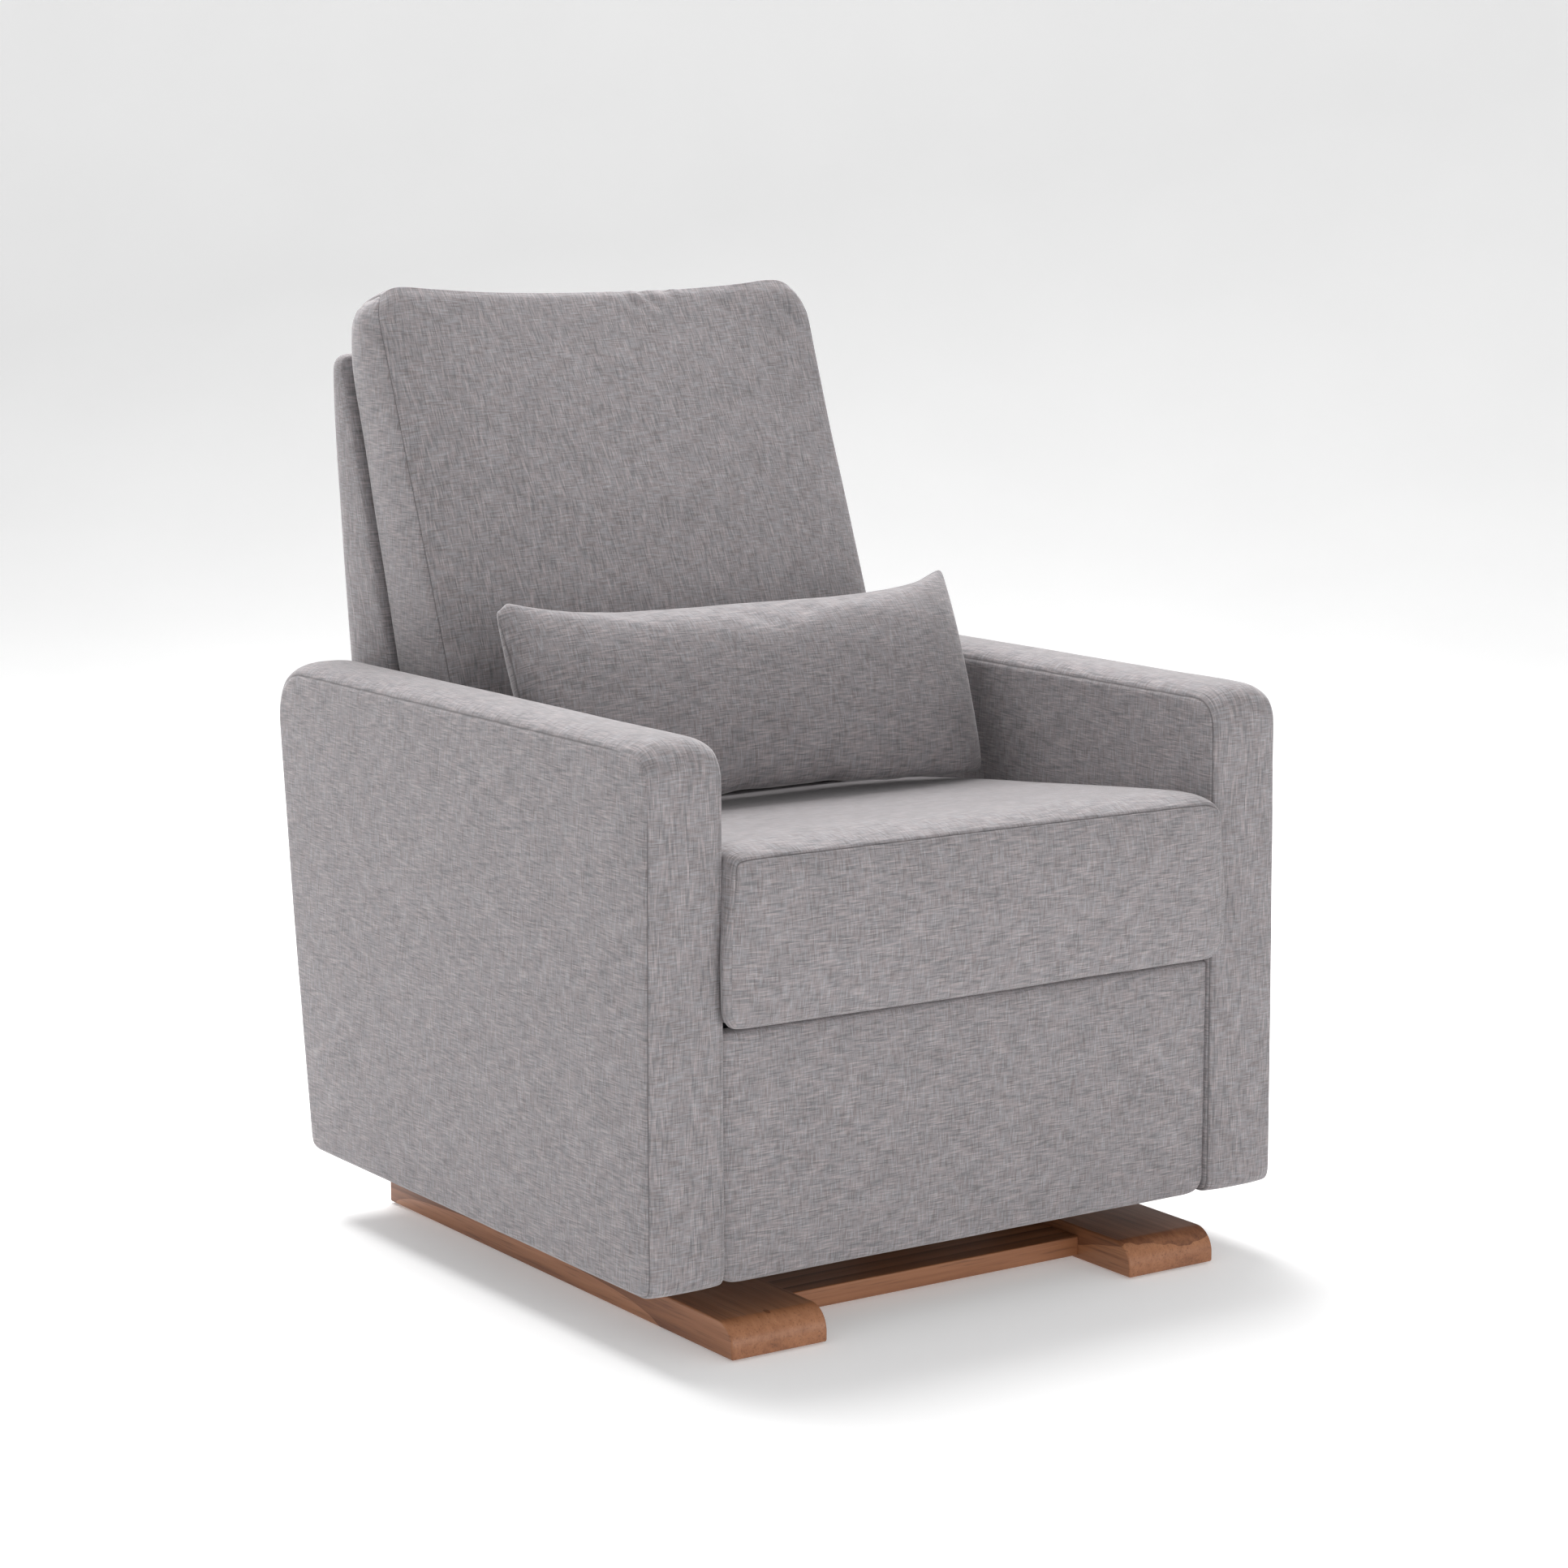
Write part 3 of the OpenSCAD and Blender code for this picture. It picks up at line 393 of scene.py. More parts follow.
def slab(corners, radii, depth, near_round, far_round, edge=2.5, body=12.0, depth_body=12.0,
         bulge=None, outline=None):
    """A padded slab: a rounded outline in (a, b) and a thickness in c from 0 to depth.

    near_round and far_round are the edge radii at c = 0 and c = depth. bulge(normal, c01, q)
    pushes the band out. Returns a dict: co holds the vertices (a, b, c), uv the flat cloth
    coordinates of each quad, seam is 1 on the two edge loops, band marks the vertices between
    them, rim is their distance from the nearer edge, d the distance from the outline
    (negative inside) and q the nearest point of the outline."""
    outline = rounded_outline(corners, radii) if outline is None else outline
    c = [np.array(p, float) for p in corners]
    la = max(np.linalg.norm(c[1] - c[0]), np.linalg.norm(c[2] - c[3]))
    lb = max(np.linalg.norm(c[3] - c[0]), np.linalg.norm(c[2] - c[1]))
    ss = graded(la, edge, body) * 2 - 1
    tt = graded(lb, edge, body) * 2 - 1
    cc = graded(depth, edge, depth_body)
    ns, nt, nc = len(ss), len(tt), len(cc)

    def base(s, t):
        u, v = (s + 1) / 2, (t + 1) / 2
        return ((1 - u) * (1 - v))[:, None] * c[0] + (u * (1 - v))[:, None] * c[1] \
            + (u * v)[:, None] * c[2] + ((1 - u) * v)[:, None] * c[3]

    gs, gt = np.meshgrid(ss, tt, indexing="ij")
    gs, gt = gs.ravel(), gt.ravel()
    rho = np.maximum(np.abs(gs), np.abs(gt))
    safe = np.maximum(rho, 1e-6)
    rim = base(gs / safe, gt / safe)
    on, _, _, _ = nearest(outline, rim)
    plane = base(gs, gt) + (on - rim) * (rho ** 4)[:, None]
    # the edge loop of the grid, anticlockwise
    idx = np.arange(ns * nt).reshape(ns, nt)
    loop = [idx[i, 0] for i in range(ns)] + [idx[ns - 1, j] for j in range(1, nt)] \
        + [idx[i, nt - 1] for i in range(ns - 2, -1, -1)] + [idx[0, j] for j in range(nt - 2, 0, -1)]
    loop = np.array(loop)
    nface, nloop = ns * nt, len(loop)
    # vertices: the two faces, then the rings of the band
    places = [plane, plane]
    heights = [np.zeros(nface), np.full(nface, depth)]
    for k in range(1, nc - 1):
        places.append(plane[loop])
        heights.append(np.full(nloop, cc[k] * depth))
    ab = np.concatenate(places)
    cz = np.concatenate(heights)
    quads, quv = [], []
    for i in range(ns - 1):
        for j in range(nt - 1):
            q = [idx[i, j], idx[i + 1, j], idx[i + 1, j + 1], idx[i, j + 1]]
            uv = [plane[x] for x in q]
            quads.append(q[::-1])
            quv.append([tuple(x) for x in uv[::-1]])
            quads.append([x + nface for x in q])
            quv.append([tuple(x) for x in uv])
    length = np.concatenate([[0], np.cumsum(np.linalg.norm(np.diff(
        np.concatenate([plane[loop], plane[loop[:1]]]), axis=0), axis=1))])

    def ring(k):
        if k == 0:
            return loop
        if k == nc - 1:
            return loop + nface
        return 2 * nface + (k - 1) * nloop + np.arange(nloop)

    for k in range(nc - 1):
        lo, hi = ring(k), ring(k + 1)
        for i in range(nloop):
            j = (i + 1) % nloop
            quads.append([lo[i], lo[j], hi[j], hi[i]])
            quv.append([(length[i], cc[k] * depth), (length[i + 1], cc[k] * depth),
                        (length[i + 1], cc[k + 1] * depth), (length[i], cc[k + 1] * depth)])
    q, d, n, _ = nearest(outline, ab)
    d = np.minimum(d, 0)
    is_band = np.zeros(len(ab), bool)
    is_band[2 * nface:] = True
    d[is_band] = 0
    seam = np.zeros(len(ab))
    seam[loop] = 1
    seam[loop + nface] = 1
    # rounds the edges between the faces and the band
    new_c = cz.copy()
    new_d = d.copy()
    for face_c, e, sgn in ((0.0, near_round, 1.0), (depth, far_round, -1.0)):
        cdist = (cz - face_c) * sgn
        on_face = (~is_band) & (np.abs(cz - face_c) < 1e-9)
        m = (on_face & (d > -e)) | (is_band & (cdist < e))
        vx = d[m] + e
        vy = e - cdist[m]
        ln = np.maximum(np.hypot(vx, vy), 1e-9)
        new_d[m] = -e + e * vx / ln
        new_c[m] = face_c + sgn * (e - e * vy / ln)
    moved = (new_d != d)
    out = ab.copy()
    out[moved] = q[moved] + n[moved] * new_d[moved][:, None]
    if bulge is not None:
        c01 = np.clip(new_c / depth, 0, 1)
        near_rim = d > -1e-6
        amount = bulge(n, c01, q)
        out[near_rim] += n[near_rim] * amount[near_rim][:, None]
    xyz = np.column_stack([out, new_c])
    rim = np.where(is_band, np.minimum(cz, depth - cz), 0)
    return {"co": xyz, "quads": quads, "uv": quv, "seam": seam, "d": d, "band": is_band,
            "rim": rim, "q": q}


def make_mesh(name, co, quads, uv, seam, rim=None):
    """A smooth object with cloth coordinates and seam marks; co and uv are in millimetres."""
    mesh = bpy.data.meshes.new(name)
    faces = [list(map(int, q)) for q in quads]
    mesh.from_pydata([tuple(p) for p in np.asarray(co) * MM], [], faces)
    layer = mesh.uv_layers.new(name="cloth")
    flat = np.array([c for f in uv for c in f], float).ravel() * MM
    layer.data.foreach_set("uv", flat)
    for label, values in (("seam", seam), ("rim", rim)):
        if values is not None:
            at = mesh.attributes.new(label, "FLOAT", "POINT")
            at.data.foreach_set("value", np.asarray(values, np.float32))
    mesh.update()
    ob = bpy.data.objects.new(name, mesh)
    COLLECTION.objects.link(ob)
    for p in mesh.polygons:
        p.use_smooth = True
    outward(ob)
    return ob


def outward(ob):
    """Makes the normals point out."""
    bm = bmesh.new()
    bm.from_mesh(ob.data)
    bmesh.ops.recalc_face_normals(bm, faces=bm.faces)
    bm.to_mesh(ob.data)
    bm.free()


def apply_modifiers(ob):
    """Puts the shaped mesh in place of the base mesh and clears the modifiers."""
    dg = bpy.context.evaluated_depsgraph_get()
    dg.update()
    mesh = bpy.data.meshes.new_from_object(ob.evaluated_get(dg), preserve_all_data_layers=True, depsgraph=dg)
    old = ob.data
    ob.modifiers.clear()
    ob.data = mesh
    bpy.data.meshes.remove(old)
    for p in mesh.polygons:
        p.use_smooth = True


def subdivide(ob):
    """Smooths the mesh by one level."""
    m = ob.modifiers.new("sub", "SUBSURF")
    m.levels = m.render_levels = 1
    m.uv_smooth = "PRESERVE_CORNERS"
    m.boundary_smooth = "PRESERVE_CORNERS"
    apply_modifiers(ob)


def coords(ob):
    """Vertex places in metres, one row each."""
    co = np.zeros(len(ob.data.vertices) * 3)
    ob.data.vertices.foreach_get("co", co)
    return co.reshape(-1, 3)


def set_coords(ob, co):
    """Moves the vertices to places in metres."""
    ob.data.vertices.foreach_set("co", np.asarray(co).ravel())
    ob.data.update()


def normals(ob):
    """Vertex normals, one row each."""
    ob.data.update()
    n = np.zeros(len(ob.data.vertices) * 3)
    ob.data.vertex_normals.foreach_get("vector", n)
    return n.reshape(-1, 3)


def attr(ob, name):
    """The values of a point attribute."""
    a = ob.data.attributes[name]
    v = np.zeros(len(a.data), np.float32)
    a.data.foreach_get("value", v)
    return v.astype(float)


def groove(ob, depth, power):
    """Sinks the seam loops, so that the panels swell up to them on both sides."""
    s = attr(ob, "seam")
    co = coords(ob) - normals(ob) * (np.clip(s, 0, 1) ** power * depth * MM)[:, None]
    set_coords(ob, co)


def value_noise(p, scale, seed):
    """Smooth repeatable noise in -1..1 for points in metres."""
    cells = 4096
    prime_x, prime_y, prime_z = 73856093, 19349663, 83492791
    table = np.random.RandomState(seed).rand(cells) * 2 - 1
    x = np.asarray(p) * scale
    i = np.floor(x).astype(np.int64)
    f = x - i
    f = f * f * (3 - 2 * f)
    total = np.zeros(len(x))
    for corner in np.ndindex(2, 2, 2):
        cell = i + corner
        key = (cell[:, 0] * prime_x) ^ (cell[:, 1] * prime_y) ^ (cell[:, 2] * prime_z)
        weight = np.prod(np.where(corner, f, 1 - f), axis=1)
        total += weight * table[key & (cells - 1)]
    return total


def dome(s, reach, face):
    """0 at the seam, rising to 1 reach mm inside it, on the chosen face of a slab only."""
    inside = np.clip(-s["d"] / reach, 0, 1)
    return np.where(face & ~s["band"], inside * (2 - inside), 0)


def crease(ob, start, end, width, depth):
    """Sinks a short fold along a line between two points in millimetres."""
    a, b = np.array(start, float) * MM, np.array(end, float) * MM
    co = coords(ob)
    t = np.clip(((co - a) @ (b - a)) / ((b - a) @ (b - a)), 0, 1)
    d = np.linalg.norm(co - (a + t[:, None] * (b - a)), axis=1) / (width * MM)
    fade = np.sin(np.pi * np.clip(t, 0.08, 0.92))
    lip = -np.exp(-d ** 2) + 0.45 * np.exp(-(d - 1.7) ** 2)
    set_coords(ob, co + normals(ob) * (lip * fade * depth * MM * (d < 4))[:, None])


def soften(ob, amount, scale, seed):
    """Slight hand-made unevenness, so that no panel is perfectly flat."""
    co = coords(ob)
    n = normals(ob)
    v = value_noise(co, scale, seed) * 0.7 + value_noise(co, scale * 2.3, seed + 1) * 0.3
    set_coords(ob, co + n * (v * amount * MM)[:, None])


def finish_piece(ob, body, material, replaces):
    """Gives a soft piece its material and its body, and hides the nodes it stands for."""
    ob.data.materials.clear()
    ob.data.materials.append(material)
    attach(ob, body)
    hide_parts(*replaces)


def inflate(ob, pressure, frames, cap, pins, stiff=18.0, mass=0.35):
    """Cloth simulation with air pressure and no gravity; a vertex moves at most cap (mm)."""
    start = coords(ob)
    if pins is not None:
        g = ob.vertex_groups.new(name="pin")
        for i, w in enumerate(pins):
            if w > 0.001:
                g.add([i], float(min(1, w)), "REPLACE")
    c = ob.modifiers.new("cloth", "CLOTH")
    s = c.settings
    s.quality = 6
    s.mass = mass
    s.tension_stiffness = s.compression_stiffness = stiff
    s.shear_stiffness = stiff * 0.35
    s.bending_stiffness = 0.6
    s.tension_damping = s.compression_damping = 12
    s.air_damping = 2.0
    s.use_pressure = True
    s.uniform_pressure_force = pressure
    s.effector_weights.gravity = 0
    if pins is not None:
        s.vertex_group_mass = "pin"
        s.pin_stiffness = 4.0
    c.collision_settings.use_collision = False
    c.collision_settings.use_self_collision = False
    c.point_cache.frame_start, c.point_cache.frame_end = 1, frames
    scene = bpy.context.scene
    for f in range(1, frames + 1):
        scene.frame_set(f)
    dg = bpy.context.evaluated_depsgraph_get()
    ev = ob.evaluated_get(dg)
    got = np.array([v.co[:] for v in ev.data.vertices])
    ob.modifiers.clear()
    ob.vertex_groups.clear()
    scene.frame_set(1)
    if not np.isfinite(got).all():
        got = start
    step = got - start
    ln = np.linalg.norm(step, axis=1)
    lim = cap * MM
    k = np.where(ln > 1e-9, lim * np.tanh(ln / lim) / np.maximum(ln, 1e-9), 1)
    set_coords(ob, start + step * k[:, None])


def mirrored(ob, name):
    """A copy of the object on the other side of X = 0."""
    mesh = ob.data.copy()
    mesh.name = name
    other = bpy.data.objects.new(name, mesh)
    COLLECTION.objects.link(other)
    co = coords(other)
    co[:, 0] *= -1
    set_coords(other, co)
    mesh.flip_normals()
    return other


# ------------------------------------------------------------------ arms

def build_arm():
    """The right arm: outline in (y, z), thickness along X from the inner to the outer face."""
    lo, hi = mm_box("right_arm_cover")
    front, low, top = -374.0, lo[2] + 0.8, 574.5
    toe, rear_low, rear_top = front - 3.5, hi[1] - 80, hi[1] - 9
    corners = [(toe, low), (rear_low, low), (rear_top, top), (front, top)]
    radii = [14, 14, 46, 27]
    depth = hi[0] - lo[0] - 1.6
    swell_reach = 90.0
    flare, flare_from, flare_over = 0.034, 520, 260

    def band(n, c01, q):
        above = np.clip(n[:, 1], 0, 1)
        fore = np.clip(-n[:, 0], 0, 1)
        under = np.clip(-n[:, 1], 0, 1)
        crown = 7 + 6.2 * above ** 2 - 2.6 * fore ** 2 - 6.3 * under ** 2
        t = np.abs(2 * c01 - 1)
        return crown * (1 - t ** 3.0) ** 0.75

    s = slab(corners, radii, depth, near_round=3.2, far_round=4.0,
             edge=3.0, body=13, depth_body=6.0, bulge=band)
    a, b, c = s["co"].T
    x = lo[0] + 0.3 + c * (1 + flare * np.clip((flare_from - b) / flare_over, 0, 1))
    x = x + 2.0 * dome(s, swell_reach, c > depth - 5) - 1.2 * dome(s, swell_reach, c < 5)
    # the seam fades where it turns the outer front corner
    fade = np.clip(np.hypot(a - front, b - top) / 70.0, 0.35, 1)
    seam = s["seam"] * np.where(c > depth / 2, fade, 1)
    rim = np.where(c < depth / 2, s["rim"], 0)
    ob = make_mesh("right_arm", np.column_stack([x, a, b]), s["quads"], s["uv"], seam, rim)
    subdivide(ob)
    groove(ob, depth=1.1, power=1.6)
    soften(ob, amount=0.6, scale=9.0, seed=11)
    return ob


right_arm = build_arm()
left_arm = mirrored(right_arm, "left_arm")
finish_piece(right_arm, "carriage", FABRIC, ["right_arm_cover"])
finish_piece(left_arm, "carriage", FABRIC, ["left_arm_cover"])


# ------------------------------------------------------------------ footrest panel

def build_footrest():
    """The padded front panel: outline in (x, z), thickness along Y from front to rear."""
    lo, hi = mm_box("footrest_pad")
    w = hi[0] + 7.6
    low, top = lo[2] + 1.5, hi[2] + 1
    corners = [(-w, low), (w, low), (w, top), (-w, top)]
    radii = [19, 19, 3.5, 3.5]
    depth = hi[1] - lo[1] - 4.5
    swell, swell_reach = 3.6, 75.0

    def band(n, c01, q):
        return 1.6 * (1 - (2 * c01 - 1) ** 2)

    s = slab(corners, radii, depth, near_round=5.0, far_round=3.0,
             edge=2.5, body=13, depth_body=6, bulge=band)
    x, z, c = s["co"].T
    y = lo[1] + 3.4 + c - swell * dome(s, swell_reach, c < 9)
    ob = make_mesh("footrest_cover", np.column_stack([x, y, z]), s["quads"], s["uv"], np.zeros(len(x)))
    subdivide(ob)
    soften(ob, amount=0.8, scale=8.0, seed=23)
    return ob


finish_piece(build_footrest(), "footrest", FABRIC, ["footrest_pad"])


# ------------------------------------------------------------------ seat cushion

def build_seat():
    """The boxed seat cushion: outline in (x, z), thickness along Y from the front lip to the back."""
    lo, hi = mm_box("seat_cushion")
    w = hi[0] + 3.0
    base, top = lo[2] + 1.0, 476.5
    corners = [(-w, base), (w, base), (w, top), (-w, top)]
    radii = [15, 22, 22, 11]
    depth = hi[1] - lo[1] - 8
    swell, swell_reach = 5.0, 60.0
    corner_width = 14
    crown = 1.8
    slope_start, slope = -368, 0.098

    def band(n, c01, q):
        up = np.clip(n[:, 1], 0, 1)
        side = np.abs(n[:, 0])
        reach = c01 * depth
        roll = 1 - np.exp(-reach / 17.0)
        proud = 8.0 * np.exp(-((reach - 8.0) / 7.0) ** 2) * np.clip((top - 30 - q[:, 1]) / 60, 0, 1)
        return up ** 2 * roll * 8.5 + side ** 2 * (2.2 * roll * (1 - c01 ** 4) + 1.15 * proud)

    s = slab(corners, radii, depth, near_round=5.0, far_round=16.0,
             edge=2.8, body=11, depth_body=11, bulge=band)
    x, z, c = s["co"].T
    y = lo[1] + 4.5 + c - swell * dome(s, swell_reach, c < 6)
    # the upright front edges roll back a little towards the arms
    near = np.clip((np.abs(x) - (w - corner_width)) / corner_width, 0, 1) * np.clip((top - z) / 40, 0, 1)
    y = y + near ** 2 * 1.5 * np.clip(1 - c / 40, 0, 1)
    # crown across the seat, then the slope down to the back
    over = np.clip((z - base) / (top - base), 0, 1.1)
    across = np.clip(1 - (x / w) ** 2, 0, 1)
    along = np.clip((y - lo[1]) / 60, 0, 1)
    z = z + over ** 3 * across ** 0.7 * along * crown
    drop = np.clip(y - slope_start, 0, None) * slope
    z = base + (z - base) * (1 - drop / (top + 4 - base))
    seam = s["seam"] * np.where(s["q"][:, 1] < top - 25, 0.72, 1)
    ob = make_mesh("seat_cushion_cover", np.column_stack([x, y, z]), s["quads"], s["uv"], seam)
    # seams, underside and rear part are pinned
    place = coords(ob)
    pins = np.where(s["seam"] > 0.5, 1.0, 0.12)
    pins = np.where(place[:, 2] < (base + 3) * MM, 1.0, pins)
    pins = np.where(place[:, 1] > 0.10, 1.0, pins)
    inflate(ob, pressure=2.2, frames=16, cap=6.0, pins=pins)
    subdivide(ob)
    groove(ob, depth=1.6, power=1.4)
    soften(ob, amount=1.1, scale=7.0, seed=31)
    return ob


finish_piece(build_seat(), "carriage", FABRIC, ["seat_cushion"])


# ------------------------------------------------------------------ back

SEAM_SLOPE = 0.3786

# fold lines at the top of the back cushion: start, end, width and depth in millimetres
BACK_CREASES = (
    ((50, 335, 968), (92, 292, 940), 5.5, 2.6), ((24, 338, 966), (60, 300, 945), 6.0, 1.8),
    ((84, 336, 969), (104, 312, 955), 4.5, 2.0), ((205, 345, 974), (255, 300, 925), 7.0, 3.2),
    ((222, 350, 978), (266, 318, 945), 5.0, 2.2), ((-236, 340, 972), (-262, 305, 935), 6.0, 1.6))


def front_face_y(z):
    """The front face of the outer back at height z, behind the cushion."""
    return 281.3 + (z - 580.7) * 0.304


def seam_y(z):
    """The front seam of the back cushion at height z."""
    return 198.2 + (z - 648.6) * SEAM_SLOPE


def back_rear_y(z):
    """The rear face of the outer back at height z."""
    heights = (296, 330, 578, 684, 797, 848, 880, 904)
    places = (342, 345, 376.5, 388.5, 397.5, 399.5, 398.5, 396)
    return np.interp(z, heights, places)


def round_top_corners(x, z, w, top, r):
    """Rounds the top corners as seen from the front."""
    u = np.clip((np.abs(x) - (w - r)) / r, 0, 1.15)
    v = np.clip((z - (top - r)) / r, 0, 1.15)
    x = x - np.sign(x) * u * r * (1 - np.sqrt(1 - np.minimum(v, 1) ** 2 / 2))
    z = z - v * r * (1 - np.sqrt(1 - np.minimum(u, 1) ** 2 / 2))
    return x, z


def build_back_cushion():
    """A panel that wraps over the top from front to rear, between two side gussets."""
    lo, hi = mm_box("back_cushion")
    low, top = lo[2] + 3, hi[2] - 4.8
    w = hi[0] - 0.5
    depth = 2 * w
    foot_front, foot_rear = (seam_y(low), low), (seam_y(low) + 115, low)
    head_front, head_rear = (324, top), (377, top - 4)
    profile = [foot_front, foot_rear, (283.5, 590), (344, 795), (374.5, 893), head_rear, head_front]
    outline = rounded_outline(profile, [20, 20, 150, 150, 60, 52, 18])
    corners = [foot_front, foot_rear, (374, top - 4), head_front]
    swell_reach = 45.0
    sag, sag_height = 10.5, 120
    slope = math.atan(SEAM_SLOPE)
    fore = np.array([-math.cos(slope), math.sin(slope)])
    crown_z = [441, 470, 500, 600, 740, 850, 923, 965]
    crown_v = [8, 19, 31, 54, 42, 23, 9, 2]

    def band(n, c01, q):
        t = np.abs(2 * c01 - 1)
        f = np.clip(n @ fore, 0, 1)
        up = np.clip(n[:, 1], 0, 1)
        crown = np.interp(q[:, 1], crown_z, crown_v) * 0.935
        front = f ** 2 * crown * (1 - t ** 2.4) ** 0.75
        over = (1 - f ** 4) * up ** 1.3 * (3.5 * (1 - t ** 8) - 6.0 * (1 - t ** 2.5))
        under = np.clip(-n[:, 1], 0, 1) ** 2 * 3.0 * (1 - t ** 6)
        return front + over + under

    s = slab(corners, None, depth, near_round=6.0, far_round=6.0,
             edge=3.0, body=11, depth_body=11.5, bulge=band, outline=outline)
    y, z, c = s["co"].T
    puff = 4.0 + 3.0 * np.clip((z - 850) / 100, 0, 1)
    x = -w + c + dome(s, swell_reach, c > depth / 2) * puff - dome(s, swell_reach, c < depth / 2) * puff
    # the wrap sags between the top corners
    mid = 1 - np.clip(np.abs(2 * c / depth - 1), 0, 1) ** 2.5
    z = z - sag * mid * np.clip((z - (top - sag_height)) / sag_height, 0, 1) ** 1.5
    x, z = round_top_corners(x, z, w, top, 43.0)
    x = x - 1.0
    rear_seam = np.interp(s["q"][:, 1], [441, 590, 795, 896, 970], [200, 255, 315, 345, 350])
    seam = s["seam"] * np.where(s["q"][:, 0] > rear_seam, 0.6, 1)
    ob = make_mesh("back_cushion_cover", np.column_stack([x, y, z]), s["quads"], s["uv"], seam)
    # rear face and top are pinned, the seams almost
    pins = np.where(s["seam"] > 0.5, 0.9, 0.10)
    pins = np.where((normals(ob)[:, 1] > 0.4) | (coords(ob)[:, 2] > 0.90), 1.0, pins)
    inflate(ob, pressure=2.0, frames=16, cap=7.0, pins=pins)
    subdivide(ob)
    groove(ob, depth=1.4, power=1.4)
    soften(ob, amount=1.3, scale=6.0, seed=43)
    for fold in BACK_CREASES:
        crease(ob, *fold)
    return ob


finish_piece(build_back_cushion(), "back", FABRIC, ["back_cushion"])


def build_back_cover():
    """The outer back: outline in (x, z), thickness from behind the cushion to the rear face."""
    lo, hi = mm_box("back_cover")
    w = hi[0] - 1
    low, top = lo[2] + 1, hi[2] - 2
    corners = [(-w, low), (w, low), (w, top), (-w, top)]
    radii = [14, 14, 13, 13]
    depth = 60.0
    swell, swell_reach = 1.5, 110.0

    def band(n, c01, q):
        return 2.2 * np.sin(np.pi * np.clip(c01, 0, 1))

    s = slab(corners, radii, depth, near_round=5.0, far_round=11.0,
             edge=2.8, body=14, depth_body=8, bulge=band)
    x, z, c = s["co"].T
    fore = np.maximum(front_face_y(z) + 1.0, 0)
    fore = np.where(z < 400, np.maximum(fore, np.interp(z, [296, 400], [278, 236])), fore)
    rear = back_rear_y(z)
    y = fore + (rear - fore) * c / depth + swell * dome(s, swell_reach, c > depth - 7)
    seam = s["seam"] * np.where(c > depth / 2, 0.85, 0)
    ob = make_mesh("outer_back", np.column_stack([x, y, z]), s["quads"], s["uv"], seam)
    subdivide(ob)
    groove(ob, depth=1.2, power=1.6)
    soften(ob, amount=0.7, scale=7.0, seed=51)
    return ob


finish_piece(build_back_cover(), "back", FABRIC, ["back_cover"])


def build_rear_panel():
    """The leaning panel between the arms at the rear: outline in (x, z), thickness along Y."""
    lo, hi = mm_box("rear_panel")
    w = hi[0] - 1.5
    low, top = lo[2] + 1, hi[2] - 1
    corners = [(-w, low), (w, low), (w, top), (-w, top)]
    swell, swell_reach = 1.5, 60.0
    s = slab(corners, [8, 8, 8, 8], 14.0, near_round=5.0, far_round=5.0,
             edge=2.5, body=14, depth_body=5)
    x, z, c = s["co"].T
    lean = (z - lo[2]) / (hi[2] - lo[2]) * (hi[1] - lo[1] - 16)
    y = lo[1] + 1 + lean + c + swell * dome(s, swell_reach, c > 9)
    ob = make_mesh("rear_panel_cover", np.column_stack([x, y, z]), s["quads"], s["uv"], np.zeros(len(x)))
    subdivide(ob)
    soften(ob, amount=0.6, scale=8.0, seed=57)
    return ob


finish_piece(build_rear_panel(), "carriage", FABRIC, ["rear_panel"])


# ------------------------------------------------------------------ lumbar pillow

def pillow_edge(gx, gz, half_w, half_h):
    """Flat places for a grid of -1..1: bowed edges, rounded corners, a slanted left end."""
    # the top bows in more than the bottom, on which the pillow stands
    px = gx * half_w * (1 - 0.012 * (1 - gz ** 2))
    pz = gz * half_h * (1 - np.where(gz > 0, 0.135, 0.06) * (1 - np.abs(gx) ** 4.0))
    r = np.where(gz < 0, 22.0, np.where(gx < 0, 27.0, 13.0))
    cx, cz = half_w - r, half_h - r
    ox, oz = np.abs(px) - cx, np.abs(pz) - cz
    ln = np.hypot(np.maximum(ox, 0), np.maximum(oz, 0))
    far = (ox > 0) & (oz > 0) & (ln > r)
    k = r / np.maximum(ln, 1e-6)
    px = np.where(far, np.sign(px) * (cx + ox * k), px)
    pz = np.where(far, np.sign(pz) * (cz + oz * k), pz)
    slant = 9.0 * np.clip(-gx, 0, 1) ** 1.5 * np.clip((gz + 1) / 2, 0, 1)
    return px - slant, pz


def tuck_under(c, column, row):
    """Tucks the lower seam under, lifts the rear sheet there and sinks the belly to the seat."""
    side = 1 - 0.85 * np.abs(column) ** 6
    tuck = np.clip((-row - 0.78) / 0.22, 0, 1) ** 2 * side
    c[:, 1] += 34.0 * tuck
    c[:, 2] += 8.0 * tuck
    c[:, 2] += 18.0 * side * np.clip((c[:, 1] + 4) / 20, 0, 1) * np.clip((-row - 0.45) / 0.4, 0, 1)
    c[:, 2] -= 24.0 * np.clip((-c[:, 1] - 4) / 26, 0, 1) * np.clip((-row - 0.45) / 0.45, 0, 1)


